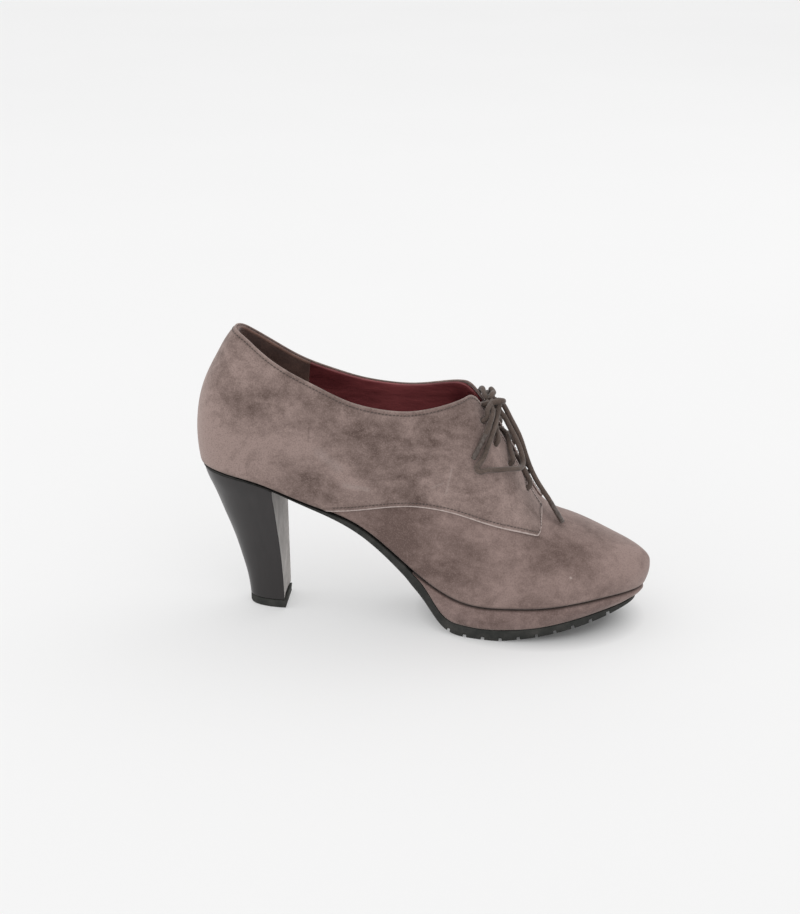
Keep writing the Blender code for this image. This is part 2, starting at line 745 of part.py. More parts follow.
def make_top_piece():
    x, y = tread_rows(HEEL_RING, TOP_PIECE_LIP)
    layers = []
    for z in (TOP_PIECE, 0.0):
        layers.append([np.stack([x, side * y, np.full(HEEL_RING, z)], -1) for side in (-1.0, 1.0)])
    return stack("top_piece", layers, RUBBER)


# Lace: its crossings over the facings, its knot, and the loops and ends that leave it

def smooth_route(points):
    """Points a step apart on a smooth curve through the given ones."""
    points = np.array(points)
    run = np.concatenate([[0.0], np.cumsum(np.linalg.norm(np.diff(points, axis=0), axis=1))])
    at = np.linspace(0, run[-1], max(2, round(run[-1] / LACE_STEP)) + 1)
    return np.stack([smooth(run, points[:, k], at) for k in range(3)], -1)


def cord(name, points, home=shoe):
    shape = bpy.data.curves.new(name, "CURVE")
    shape.dimensions = "3D"
    shape.bevel_depth = LACE
    shape.bevel_resolution = 2
    shape.use_fill_caps = True
    line = shape.splines.new("POLY")
    line.points.add(len(points) - 1)
    for point, place in zip(line.points, points):
        point.co = (*place, 1.0)
    made = bpy.data.objects.new(name, shape)
    made.data.materials.append(LACE_CORD)
    home.objects.link(made)
    return made


def crossing_route(side):
    """From a bottom eyelet to and fro across the gap, up to the top one, close above the
    quarter all the way. side is -1 where it starts on the lateral side."""
    lift = QUARTER_STEP + LACE + LACE_REST
    points = []
    for low, high in zip(EYELETS[:-1], EYELETS[1:]):
        for k in range(CROSSING_STEPS + (high is EYELETS[-1])):
            part = k / CROSSING_STEPS
            turn = turn_at(low.share + (high.share - low.share) * part)
            across = side * BALL_WIDTH * (low.side - (low.side + high.side) * part)
            arch = arch_at(turn, across)
            points.append(last_point(turn, arch) + lift * outward(turn, arch))
        side = -side
    return points


def make_crossings():
    crossings = meshed(cord("lace_crossings", crossing_route(-1)), LACE_CORD, shoe)
    crossings.name = "lace_crossings"
    other = as_cutter(meshed(cord("lace_back", crossing_route(1), cutters), LACE_CORD, cutters))
    combine(crossings, "UNION", other, "crossed_lace")


def make_knot():
    """A rounded lump with one turn of the lace round its middle."""
    build = bmesh.new()
    bmesh.ops.create_uvsphere(build, u_segments=16, v_segments=10, radius=1.0)
    bmesh.ops.scale(build, verts=build.verts, vec=KNOT_RADII)
    mesh = bpy.data.meshes.new("lace_knot")
    build.to_mesh(mesh)
    build.free()
    mesh.materials.append(LACE_CORD)
    knot = bpy.data.objects.new("lace_knot", mesh)
    knot.location = KNOT
    shoe.objects.link(knot)
    angles = np.linspace(0, 2 * np.pi, 16, endpoint=False)
    long_way = KNOT_RADII[0] + KNOT_WRAP - LACE
    short_way = KNOT_RADII[2] + KNOT_WRAP - LACE
    ring = [(KNOT[0] + long_way * np.cos(a), KNOT[1], KNOT[2] + short_way * np.sin(a)) for a in angles]
    turn = cord("knot_wrap", ring, cutters)
    turn.data.splines[0].use_cyclic_u = True
    combine(knot, "UNION", as_cutter(meshed(turn, LACE_CORD, cutters)), "wrap")


def aglet(name, ends):
    start, tip = Vector(ends[0]), Vector(ends[1])
    build = bmesh.new()
    bmesh.ops.create_cone(build, cap_ends=True, segments=8, radius1=AGLET, radius2=AGLET,
                          depth=(tip - start).length)
    mesh = bpy.data.meshes.new(name)
    build.to_mesh(mesh)
    build.free()
    mesh.materials.append(AGLET_PLASTIC)
    made = bpy.data.objects.new(name, mesh)
    made.location = (start + tip) / 2
    made.rotation_mode = "QUATERNION"
    made.rotation_quaternion = (tip - start).to_track_quat("Z", "Y")
    shoe.objects.link(made)


def make_lace():
    make_crossings()
    make_knot()
    cord("lace_loop_outer", smooth_route(OUTER_LOOP))
    cord("lace_loop_inner", smooth_route(INNER_LOOP))
    cord("lace_end_short", smooth_route(SHORT_END))
    cord("lace_end_long", smooth_route(LONG_END))
    aglet("aglet_short", SHORT_AGLET)
    aglet("aglet_long", LONG_AGLET)


make_upper()
make_tongue()
make_insole()
make_platform()
make_outsole()
make_heel()
make_top_piece()
make_lace()
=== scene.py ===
import bmesh
import bpy
import numpy as np
from mathutils import Matrix, Vector, kdtree


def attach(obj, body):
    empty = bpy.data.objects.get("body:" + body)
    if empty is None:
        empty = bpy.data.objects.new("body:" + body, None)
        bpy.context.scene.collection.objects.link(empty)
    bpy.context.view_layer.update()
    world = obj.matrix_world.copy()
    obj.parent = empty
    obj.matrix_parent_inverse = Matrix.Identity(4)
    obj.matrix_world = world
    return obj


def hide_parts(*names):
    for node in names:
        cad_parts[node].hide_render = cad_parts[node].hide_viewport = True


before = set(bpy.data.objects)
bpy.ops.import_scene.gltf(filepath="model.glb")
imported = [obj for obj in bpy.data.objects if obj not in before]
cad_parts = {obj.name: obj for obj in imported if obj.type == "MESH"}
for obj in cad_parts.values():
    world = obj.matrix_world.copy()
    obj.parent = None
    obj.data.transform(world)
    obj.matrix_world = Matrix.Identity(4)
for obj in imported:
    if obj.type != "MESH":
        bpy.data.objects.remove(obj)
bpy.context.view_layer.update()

# Studio: a seamless pale floor under a white sky, one broad soft panel in front and above,
# one behind on the right and a tall one on the left that the heel's lacquer mirrors.
# The camera stands in front of the shoe's outer side and looks down on it.

bpy.context.scene.view_settings.view_transform = "Standard"


def finish(name, colour, roughness, **sockets):
    """Material with one colour and constant values on the shader's own sockets."""
    made = bpy.data.materials.new(name)
    made.use_nodes = True
    shader = made.node_tree.nodes["Principled BSDF"]
    shader.inputs["Base Color"].default_value = (*colour, 1.0)
    shader.inputs["Roughness"].default_value = roughness
    for socket, value in sockets.items():
        shader.inputs[socket.replace("_", " ")].default_value = value
    return made


def add(made, kind, settings=None, **inputs):
    """Node of the material. Each input is a value, or another node's output."""
    tree = made.node_tree
    new = tree.nodes.new("ShaderNode" + kind)
    for key, value in (settings or {}).items():
        setattr(new, key, value)
    for key, value in inputs.items():
        socket = new.inputs[int(key[3:])] if key.startswith("nr_") else new.inputs[key]
        if isinstance(value, bpy.types.NodeSocket):
            tree.links.new(value, socket)
        else:
            socket.default_value = value
    return new


def join(made, output, name="Base Color"):
    """Leads an output to one of the shader's sockets."""
    made.node_tree.links.new(output, made.node_tree.nodes["Principled BSDF"].inputs[name])


def here(made, **mapping):
    """Each point's place in the object's own metres, turned, moved or stretched."""
    place = add(made, "TexCoord").outputs["Object"]
    return add(made, "Mapping", Vector=place, **mapping).outputs["Vector"] if mapping else place


def noise(made, scale, detail=2.0, stretch=None, rough=0.5, twist=0.0):
    """Noise with about 1/scale metres from patch to patch."""
    place = here(made, Scale=stretch) if stretch else here(made)
    return add(made, "TexNoise", Vector=place, Scale=scale, Detail=detail, Roughness=rough,
               Distortion=twist).outputs["Fac"]


def span(made, value, low, high, to_low=0.0, to_high=1.0):
    """Value spread from one range to another, held inside it."""
    return add(made, "MapRange", {"clamp": True}, nr_0=value, nr_1=low, nr_2=high, nr_3=to_low,
               nr_4=to_high).outputs[0]


def mixed(made, share, first, second):
    """Two colours mixed by a share."""
    first, second = ((*c, 1.0) if isinstance(c, tuple) else c for c in (first, second))
    return add(made, "Mix", {"data_type": "RGBA"}, nr_0=share, nr_6=first, nr_7=second).outputs[2]


def dent(made, *rows):
    """Bump from rows of (height output, depth in metres)."""
    under = {}
    for height, depth in rows:
        bump = add(made, "Bump", Height=height, Strength=1.0, Distance=depth, **under)
        under = {"Normal": bump.outputs["Normal"]}
    join(made, under["Normal"], "Normal")


def stand(name, data):
    """New object in the scene."""
    made = bpy.data.objects.new(name, data)
    bpy.context.collection.objects.link(made)
    return made


# Painted light: the floor glows though it is no lamp, which lifts its shadows, and round the sole the glow
# is dimmed into a painted contact shadow.
FLOOR_REACH = 9.0
FLOOR_GLOW = 0.36              # keeps the shadows as light as the photo's
SHADE_X = 0.142                # round this place under the sole the glow fades
SHADE_LONG, SHADE_WIDE = 0.050, 0.040    # half length and half width of that patch
floor_paper = finish("floor_paper", (0.48, 0.48, 0.48), 0.9, Emission_Strength=FLOOR_GLOW)
# painted shadow: round the sole the floor's glow falls to 0.15 of full
sole_shadow_reach = add(floor_paper, "VectorMath", {"operation": "LENGTH"}, nr_0=here(
    floor_paper, Location=(-SHADE_X / SHADE_LONG, 0.0, 0.0), Scale=(1 / SHADE_LONG, 1 / SHADE_WIDE, 1.0)))
join(floor_paper, mixed(floor_paper, span(floor_paper, sole_shadow_reach.outputs["Value"], 0.80, 1.25),
                        (0.15, 0.15, 0.15), (1.0, 1.0, 1.0)), "Emission Color")
join(floor_paper, mixed(floor_paper, noise(floor_paper, 3.0), (0.47, 0.47, 0.47), (0.49, 0.49, 0.49)))
floor_mesh = bpy.data.meshes.new("studio_floor")
floor_mesh.from_pydata([(x * FLOOR_REACH, y * FLOOR_REACH, 0.0) for x, y in
                        ((-1, -1), (1, -1), (1, 1), (-1, 1))], [], [(0, 1, 2, 3)])
floor_mesh.materials.append(floor_paper)
stand("studio_floor", floor_mesh)

sky = bpy.data.worlds.new("white_sky")
sky.use_nodes = True
sky.node_tree.nodes["Background"].inputs["Color"].default_value = (1.0, 1.0, 1.0, 1.0)
sky.node_tree.nodes["Background"].inputs["Strength"].default_value = 1.0
bpy.context.scene.world = sky

# place, size in metres, power in watts
PANELS = {
    "front_panel": ((0.35, -1.25, 1.55), 1.5, 2.5),
    "back_panel": ((0.95, 0.95, 1.50), 1.2, 4.0),
    "left_panel": ((-1.40, -0.15, 0.55), 0.9, 3.0),
}
SHOE_MIDDLE = Vector((0.085, 0.0, 0.075))
for panel, (place, size, power) in PANELS.items():
    light = bpy.data.lights.new(panel, "AREA")
    light.size = size
    light.energy = power
    lamp = stand(panel, light)
    lamp.location = place
    lamp.rotation_mode = "QUATERNION"
    lamp.rotation_quaternion = (SHOE_MIDDLE - Vector(place)).to_track_quat("-Z", "Y")

FRAME_WIDE, FRAME_TALL = 800, 914
SHARPNESS = 1700.0             # focal length in pixels of the frame
DISTANCE = 0.90426
AIM = Vector((0.095, 0.0, 0.060))
AIM_PIXEL = (444.0, 503.5)     # where the photo shows the point AIM
yaw, pitch, roll = np.radians((5.0, 21.0, 0.4))
back = Vector((np.sin(yaw) * np.cos(pitch), -np.cos(yaw) * np.cos(pitch), np.sin(pitch)))
level = (-back).cross(Vector((0, 0, 1))).normalized()
lifted = level.cross(-back)
right = level * np.cos(roll) + lifted * np.sin(roll)
up = lifted * np.cos(roll) - level * np.sin(roll)
across = (AIM_PIXEL[0] - (FRAME_WIDE - 1) / 2) / SHARPNESS * DISTANCE
down = (AIM_PIXEL[1] - (FRAME_TALL - 1) / 2) / SHARPNESS * DISTANCE
lens = bpy.data.cameras.new("studio_camera")
lens.sensor_width = 36.0
lens.lens = SHARPNESS * lens.sensor_width / FRAME_TALL
camera = stand("studio_camera", lens)
camera.matrix_world = (Matrix.Translation(AIM + back * DISTANCE - right * across + up * down)
                       @ Matrix((right, up, back)).transposed().to_4x4())
bpy.context.scene.camera = camera

# Vamp: the suede front of the upper, cut in one piece from toe to waist, lasted over the
# form and turned under along the feather line, so a groove runs above the platform; its shade is painted
# dark into the suede.

FOOT_LENGTH = 0.2365
BACK_X = -0.0342
BALL_WIDTH = 0.077
SEAT_HEIGHT = 0.0820
BACK_HEIGHT = 0.0740
PLATFORM = 0.0121
OUTSOLE = 0.0065
GAP = 0.0003
WALL = 0.0015
TOE_BULGE = 0.0028
TOE_BULGE_HEIGHT = 0.0220
BELLY_PEAK = 2.6
BACK_FADE = 4
TOE_FADE = 6
FORE_HEIGHT = OUTSOLE + PLATFORM + 2 * GAP

# share of the length, lateral and medial half width, lift of the feather line, crown,
# squareness of the arch, and how far the lateral and the medial wall swell
LAST = np.array((
    (0.000, 0.000, 0.000, 0.990, 1.060, 2.3, 0.00, 0.00),
    (0.020, 0.188, 0.188, 1.000, 1.030, 2.3, 0.01, 0.01),
    (0.067, 0.295, 0.289, 0.982, 0.990, 2.3, 0.02, 0.02),
    (0.150, 0.345, 0.332, 0.915, 0.985, 2.3, 0.03, 0.04),
    (0.250, 0.345, 0.302, 0.765, 1.030, 2.4, 0.03, 0.07),
    (0.370, 0.340, 0.243, 0.565, 1.280, 2.5, 0.02, 0.10),
    (0.500, 0.395, 0.256, 0.180, 1.620, 2.5, 0.01, 0.08),
    (0.600, 0.495, 0.360, 0.010, 1.440, 2.4, 0.00, 0.04),
    (0.700, 0.539, 0.461, 0.000, 0.955, 2.1, 0.01, 0.02),
    (0.755, 0.528, 0.470, 0.003, 0.635, 2.1, 0.02, 0.02),
    (0.820, 0.485, 0.452, 0.017, 0.490, 2.1, 0.02, 0.02),
    (0.900, 0.370, 0.364, 0.035, 0.370, 2.2, 0.02, 0.02),
    (0.970, 0.195, 0.208, 0.025, 0.275, 2.2, 0.02, 0.02),
    (1.000, 0.000, 0.000, 0.005, 0.185, 2.2, 0.00, 0.00),
))
# back seam: height above the seat and set-forward, in back heights
BACK_SEAM = np.array(((-0.06, 0.020), (0.05, 0.000), (0.20, -0.014), (0.35, -0.008), (0.50, 0.018),
                      (0.65, 0.072), (0.80, 0.150), (0.94, 0.235), (1.00, 0.285), (1.15, 0.400)))


def smooth(xs, ys, x):
    """Natural cubic through the points of two columns, read at x."""
    xs, ys, x = np.asarray(xs, float), np.asarray(ys, float), np.asarray(x, float)
    step = np.diff(xs)
    matrix = np.eye(len(xs))
    known = np.zeros(len(xs))
    for i in range(1, len(xs) - 1):
        matrix[i, i - 1:i + 2] = step[i - 1], 2 * (step[i - 1] + step[i]), step[i]
        known[i] = 6 * ((ys[i + 1] - ys[i]) / step[i] - (ys[i] - ys[i - 1]) / step[i - 1])
    bend = np.linalg.solve(matrix, known)
    k = np.clip(np.searchsorted(xs, x) - 1, 0, len(xs) - 2)
    after, before = xs[k + 1] - x, x - xs[k]
    low = (ys[k] / step[k] - bend[k] * step[k] / 6) * after
    high = (ys[k + 1] / step[k] - bend[k + 1] * step[k] / 6) * before
    return (bend[k] * after ** 3 + bend[k + 1] * before ** 3) / (6 * step[k]) + low + high


def turn_at(share):
    return np.arccos(1 - 2 * np.clip(share, 0.0, 1.0))


def share_at(turn):
    return (1 - np.cos(turn)) / 2


def share_x(share):
    return BACK_X + FOOT_LENGTH * share


def x_share(x):
    return (x - BACK_X) / FOOT_LENGTH


def last_column(k, turn):
    return smooth(turn_at(LAST[:, 0]), LAST[:, k], turn)


def feather_height(turn):
    return FORE_HEIGHT + (SEAT_HEIGHT - FORE_HEIGHT) * last_column(3, turn)


def above_feather(points):
    """Height of points above the feather line beside them."""
    return points[..., 2] - feather_height(turn_at(x_share(points[..., 0])))


def last_point(turn, arch, grow=0.0):
    """Point on the vamp's outer face: arch runs from -1, the lateral feather line, over
    the ridge at 0 to 1, the medial feather line. grow widens the form."""
    turn, arch = np.broadcast_arrays(np.asarray(turn, float), np.asarray(arch, float))
    share = share_at(turn)
    out = arch < 0
    half = np.where(out, last_column(1, turn), last_column(2, turn)) * BALL_WIDTH
    belly = np.where(out, last_column(6, turn), last_column(7, turn))
    power = 2 / last_column(5, turn)
    angle = (1 - np.abs(arch)) * np.pi / 2
    rise, reach = np.abs(np.sin(angle)), np.abs(np.cos(angle))
    wide = (half + grow * np.sin(turn)) * reach ** power
    wide = wide + belly * BALL_WIDTH * BELLY_PEAK * rise * reach ** 2
    feather = feather_height(turn)
    z = feather + (last_column(4, turn) * BACK_HEIGHT + grow) * rise ** power
    at = np.clip((z - SEAT_HEIGHT) / BACK_HEIGHT, BACK_SEAM[0, 0], BACK_SEAM[-1, 0])
    lean = smooth(BACK_SEAM[:, 0], BACK_SEAM[:, 1], at) * BACK_HEIGHT * (1 - share) ** BACK_FADE
    swell = np.sin(np.pi * np.clip((z - feather) / TOE_BULGE_HEIGHT, 0, 1))
    x = share_x(share) + lean + TOE_BULGE * swell * share ** TOE_FADE
    return np.stack([x - grow * np.cos(turn), np.where(out, -wide, wide), z], -1)


def outward(turn, arch):
    """Unit normal of the last, in the middle plane at its back and at its toe."""
    turn, arch = np.broadcast_arrays(np.asarray(turn, float), np.asarray(arch, float))
    small = 1e-3
    first = np.clip(turn, small, np.pi - small)
    along = last_point(first + small, arch) - last_point(first - small, arch)
    over = last_point(first, np.minimum(arch + small, 1)) - last_point(first, np.maximum(arch - small, -1))
    normal = np.cross(along, over)
    normal[..., 1] = np.where((turn < small) | (turn > np.pi - small), 0.0, normal[..., 1])
    return normal / np.maximum(np.linalg.norm(normal, axis=-1, keepdims=True), 1e-15)


def raised(turn, arch, lift):
    return last_point(turn, arch) + lift * outward(turn, arch)


HALVINGS = 36                  # of the range in which arch_where looks


def arch_where(turn, side, holds):
    """For each turn, how far up its side holds(point) stays true, from 1, the feather
    line, to 0, the ridge."""
    low, high = np.zeros(len(turn)), np.ones(len(turn))
    for _ in range(HALVINGS):
        middle = (low + high) / 2
        true = holds(last_point(turn, side * middle))
        high = np.where(true, middle, high)
        low = np.where(true, low, middle)
    return (low + high) / 2


def running(line):
    """Length of a line up to each of its points."""
    return np.concatenate([[0.0], np.cumsum(np.linalg.norm(np.diff(line, axis=0), axis=-1))])


def evenly(turn, side, first, last, rows):
    """Arches from first to last, up each column, that lie the same distance apart."""
    fine = first + (last - first) * np.linspace(0, 1, 4 * rows)[:, None] ** 2
    places = last_point(turn, side * fine)
    even = np.linspace(0, 1, rows)
    runs = [running(places[:, k]) for k in range(len(turn))]
    return np.stack([np.interp(even * run[-1], run, fine[:, k]) for k, run in enumerate(runs)], -1)


WELD = 2e-6                    # points closer than this are one


def piece(name, points, faces, materials, weld=True):
    """Mesh object from points and faces, with points that coincide joined."""
    mesh = bpy.data.meshes.new(name)
    mesh.from_pydata([tuple(p) for p in points], [], faces)
    for material in materials:
        mesh.materials.append(material)
    if weld:
        build = bmesh.new()
        build.from_mesh(mesh)
        bmesh.ops.remove_doubles(build, verts=build.verts, dist=WELD)
        bmesh.ops.recalc_face_normals(build, faces=build.faces)
        build.to_mesh(mesh)
        build.free()
    mesh.polygons.foreach_set("use_smooth", [True] * len(mesh.polygons))
    return stand(name, mesh)


def points_of(made):
    return np.array([v.co for v in made.data.vertices])


def mark(made, name, values):
    """Stores one number for each point of the mesh, for its material to read."""
    stored = made.data.attributes.new(name, "FLOAT", "POINT")
    stored.data.foreach_set("value", np.asarray(values, np.float32))


def marked(made, name):
    return add(made, "Attribute", {"attribute_name": name}).outputs["Fac"]


def grid_faces(rows, columns, first=0, flip=False):
    r, c = np.meshgrid(np.arange(rows - 1), np.arange(columns - 1), indexing="ij")
    a = (first + r * columns + c).ravel()
    quads = np.stack([a, a + 1, a + columns + 1, a + columns], -1)
    return (quads[:, ::-1] if flip else quads).tolist()


def border(rows, columns, sides):
    """Row and column of each point along the named sides of a grid, in one run."""
    r, c = np.arange(rows), np.arange(columns)
    runs = {"start": (0 * c, c), "right": (r, 0 * r + columns - 1),
            "end": (0 * c + rows - 1, c[::-1]), "left": (r[::-1], 0 * r)}
    run = np.hstack([runs[side] for side in sides]).T
    return run[np.r_[True, (np.diff(run, axis=0) != 0).any(1)]]


RIM_STEPS = 5
RIM_FULL = 0.7                 # how full a cut edge is, against a half round


def leather(name, outer, inner, sides, material, closed=False):
    """Sheet of leather between two grids of points, with a rounded cut edge along the
    named sides. Also gives that edge on the outer face, with its directions inward along
    the leather and out of it."""
    rows, columns = outer.shape[:2]
    run = border(rows, columns, sides)
    inward = np.clip(run, 1, (rows - 2, columns - 2))
    top, low = outer[run[:, 0], run[:, 1]], inner[run[:, 0], run[:, 1]]
    away = top - outer[inward[:, 0], inward[:, 1]]
    thick = top - low
    half = np.linalg.norm(thick, axis=1, keepdims=True) / 2
    thick = thick / (2 * half)
    away -= thick * (away * thick).sum(1, keepdims=True)
    away /= np.maximum(np.linalg.norm(away, axis=1, keepdims=True), 1e-9)
    angles = np.linspace(np.pi / 2, -np.pi / 2, RIM_STEPS + 2)[1:-1]
    rings = [(top + low) / 2 + half * (RIM_FULL * np.cos(a) * away + np.sin(a) * thick) for a in angles]
    count = rows * columns
    faces = grid_faces(rows, columns) + grid_faces(rows, columns, count, True)
    places = run[:, 0] * columns + run[:, 1]
    loops = [places, *(2 * count + np.arange(RIM_STEPS * len(run)).reshape(RIM_STEPS, -1)), places + count]
    for first, second in zip(loops[:-1], loops[1:]):
        quads = np.stack([first, second, np.roll(second, -1), np.roll(first, -1)], -1)
        faces += quads[:len(run) if closed else -1].tolist()
    made = piece(name, np.vstack([outer.reshape(-1, 3), inner.reshape(-1, 3), *rings]), faces, [material])
    return made, top, -away, thick


# spots where the suede is darker (below 0) or lighter: share, arch, reach in metres, amount
DARK_LIGHT_SPOTS = (
    (0.592, -0.90, 0.014, -0.8), (0.457, -0.96, 0.016, -1.0), (0.766, -0.61, 0.012, -0.6),
    (0.853, -0.49, 0.010, -0.5), (0.874, -0.12, 0.010, -0.7), (0.895, -0.88, 0.008, -0.4),
    (0.680, -0.92, 0.010, 0.6), (0.679, -0.79, 0.010, 0.4), (0.808, -0.83, 0.011, 0.9),
    (0.959, -0.45, 0.012, 0.8), (0.413, -0.69, 0.014, -0.5), (0.603, -0.37, 0.012, -0.4),
    (0.236, -0.94, 0.010, -0.7), (0.084, -0.65, 0.010, -0.6), (0.512, -0.64, 0.012, -0.5),
    (0.305, -0.83, 0.011, 0.9), (0.369, -0.88, 0.010, 0.7), (0.251, -0.73, 0.012, 0.5),
    (0.030, -0.85, 0.012, 0.7), (0.695, -0.51, 0.011, 0.7), (0.546, -0.73, 0.010, 0.5),
    (0.060, -0.90, 0.024, 0.7), (0.140, -0.92, 0.016, 0.5), (0.930, -0.60, 0.018, 0.5),
    (0.250, 0.80, 0.014, 0.6), (0.450, 0.70, 0.014, -0.6), (0.650, 0.60, 0.012, 0.6),
    (0.720, 0.90, 0.014, 0.7), (0.820, 0.60, 0.012, -0.6), (0.120, 0.60, 0.012, -0.5),
)
# scratches and specks in the nap: share and arch of both ends, height over the last, width, colour
SCRATCHES = (
    ((0.257, -0.642), (0.257, -0.734), 0.0011, 0.0007, (0.085, 0.058, 0.050)),
    ((0.569, -0.626), (0.558, -0.731), 0.0011, 0.0008, (0.350, 0.285, 0.262)),
    ((0.528, -0.748), (0.552, -0.702), 0.0011, 0.0008, (0.350, 0.285, 0.262)),
    ((0.333, -0.897), (0.384, -0.881), 0.0011, 0.0018, (0.345, 0.285, 0.262)),
    ((0.279, -0.780), (0.322, -0.837), 0.0011, 0.0036, (0.330, 0.265, 0.245)),
    ((0.829, -0.717), (0.831, -0.724), 0.0000, 0.0008, (0.640, 0.560, 0.520)),
)
STITCH_SETBACK = 0.0019        # from the cut edge to the row of stitches
GROOVE_SHADE_REACH = 0.0012          # how far the painted shade of the groove spreads


def spot_marks(made, reach=GROOVE_SHADE_REACH):
    """Marks listed spots where the nap is darker or lighter, and how near the groove is, for the shade
    painted there.
    """
    points = points_of(made)
    value = np.zeros(len(points))
    for share, arch, spread, amount in DARK_LIGHT_SPOTS:
        centre = last_point(turn_at(share), arch)
        value += amount * np.exp(-((points - centre) ** 2).sum(1) / spread ** 2)
    mark(made, "spot_marks", value)
    # painted shade: how near the groove along the feather line is, for the suede to darken there
    mark(made, "groove", np.exp(-(above_feather(points) / reach) ** 2))


def suede(name, dark, light, pale_edge=None):
    """Brushed suede: broad patches, fine strokes, grain and scratches, and painted shade in the groove.
    With pale_edge it has a raw cut edge and a band of painted shade along its stitches."""
    made = finish(name, light, 1.0, Sheen_Weight=0.35, Sheen_Roughness=0.45,
                  Sheen_Tint=(0.85, 0.78, 0.75, 1.0), Specular_IOR_Level=0.15)

    def reckon(way, first, second=0.0, third=0.0):
        return add(made, "Math", {"operation": way}, nr_0=first, nr_1=second, nr_2=third).outputs[0]

    def vectors(way, first, second, output):
        return add(made, "VectorMath", {"operation": way}, nr_0=first, nr_1=second).outputs[output]

    broad = noise(made, 34.0, 4.0, rough=0.62, twist=0.6)
    strokes = noise(made, 85.0, 4.0, stretch=(0.6, 1.0, 1.1), rough=0.62, twist=1.6)
    blotch = noise(made, 170.0, 5.0, rough=0.75)
    tone = 0.0
    for output, weight in ((broad, 0.54), (strokes, 0.32), (blotch, 0.34), (marked(made, "spot_marks"), 0.15)):
        tone = reckon("MULTIPLY_ADD", output, weight, tone)
    colour = mixed(made, span(made, tone, 0.45, 0.73), dark, light)
    place = here(made)
    for *ends, lift, wide, tint in SCRATCHES:
        start, end = (Vector(raised(turn_at(share), arch, lift)) for share, arch in ends)
        way = end - start
        off = vectors("SUBTRACT", place, start, "Vector")
        part = span(made, vectors("DOT_PRODUCT", off, way / way.length_squared, "Value"), 0.0, 1.0)
        beside = add(made, "VectorMath", {"operation": "SCALE"}, nr_0=way, Scale=part).outputs[0]
        away = vectors("DISTANCE", off, beside, "Value")
        rubbed = reckon("MULTIPLY", span(made, away, wide * 0.2, wide, 0.75, 0.0), blotch)
        colour = mixed(made, rubbed, colour, tint)
    grain = noise(made, 1300.0, 3.0, rough=0.75)
    colour = mixed(made, span(made, grain, 0.50, 0.70, 0.0, 0.45), colour, dark)
    colour = mixed(made, span(made, grain, 0.50, 0.32, 0.0, 0.35), colour, tuple(1.25 * c for c in light))
    if pale_edge:
        edge = marked(made, "from_edge")
        near = reckon("ABSOLUTE", reckon("SUBTRACT", edge, STITCH_SETBACK))
        # painted shade: a darker band along the row of stitches
        colour = mixed(made, span(made, near, 0.0, 0.0009, 0.38, 0.0), colour, dark)
        frayed = reckon("MULTIPLY_ADD", noise(made, 700.0, 2.0), 0.0006, reckon("ABSOLUTE", edge))
        raw = span(made, frayed, 0.0003, 0.0009, 0.75, 0.0)
        colour = mixed(made, reckon("MULTIPLY", raw, marked(made, "cut_raw")), colour, pale_edge)
    # painted shade: the suede darkens to near black towards the groove
    colour = mixed(made, reckon("MULTIPLY", marked(made, "groove"), 0.85), colour, (0.030, 0.018, 0.015))
    join(made, colour)
    dent(made, (grain, 0.00009), (noise(made, 420.0, 3.0), 0.00010))
    return made


VAMP_SUEDE = suede("vamp_suede", (0.122, 0.083, 0.073), (0.280, 0.204, 0.184))

THROAT_END = 0.744
HALF_GAP_END = 0.0052
UNDER_TURN = 0.0022            # radius of the edge that is turned under
QUARTER_EDGE = np.array(((0.285, 0.787), (0.345, 0.797), (0.411, 0.829), (0.465, 0.852),
                         (0.537, 0.860), (0.583, 0.846), (0.629, 0.812), (0.674, 0.773),
                         (0.719, 0.729), (0.757, 0.677)))
EDGE_START = share_x(QUARTER_EDGE[0, 0])
FOLD_FADE = 0.15               # a fold starts and ends at this share of half a wave
# soft folds: share and arch where each starts and ends, half width, and depth (a ridge is below 0)
FOLDS = (
    (0.655, -0.80, 0.700, -0.55, 0.0032, 0.00045), (0.672, -0.84, 0.722, -0.58, 0.0026, -0.00025),
    (0.690, -0.86, 0.748, -0.50, 0.0030, 0.00040), (0.724, -0.80, 0.770, -0.40, 0.0034, 0.00022),
    (0.655, 0.80, 0.700, 0.55, 0.0032, 0.00045), (0.690, 0.84, 0.748, 0.50, 0.0030, 0.00040),
    (0.560, -0.93, 0.625, -0.78, 0.0040, 0.00040), (0.470, -0.90, 0.520, -0.70, 0.0050, 0.00040),
    (0.330, -0.86, 0.400, -0.74, 0.0060, 0.00045), (0.380, -0.94, 0.450, -0.86, 0.0045, -0.00030),
    (0.160, -0.78, 0.260, -0.72, 0.0060, 0.00035), (0.470, 0.90, 0.520, 0.70, 0.0050, 0.00040),
    (0.250, 0.86, 0.360, 0.76, 0.0060, 0.00045), (0.100, 0.78, 0.180, 0.74, 0.0060, 0.00030),
)


def sag(points):
    """How far the folds draw each point in."""
    total = np.zeros(points.shape[:-1])
    for share, arch, share_end, arch_end, wide, deep in FOLDS:
        start = last_point(turn_at(share), arch)
        way = last_point(turn_at(share_end), arch_end) - start
        part = np.clip((points - start) @ way / (way @ way), 0, 1)
        off = points - start - part[..., None] * way
        wave = np.sin(np.pi * (FOLD_FADE + (1 - 2 * FOLD_FADE) * part))
        total += deep * np.exp(-((off ** 2).sum(-1)) / wide ** 2) * wave
    return total


def rounding(distance, radius):
    """How far a rounded corner draws back, at a distance from the edge that it ends in."""
    near = np.clip(1 - distance / radius, 0, 1)
    return radius * (1 - np.sqrt(1 - near ** 2))


def lasted(turn, arch, lift, tuck=0.0):
    """The last's surface raised by lift, with its folds."""
    points = last_point(turn, arch, -tuck)
    return points + (lift - sag(points))[..., None] * outward(turn, arch)


def turned_under(turn, arch, lift):
    """The same, rounded in where it meets the feather line."""
    above = last_point(turn, arch)[..., 2] - feather_height(turn)
    return lasted(turn, arch, lift, rounding(above, UNDER_TURN))


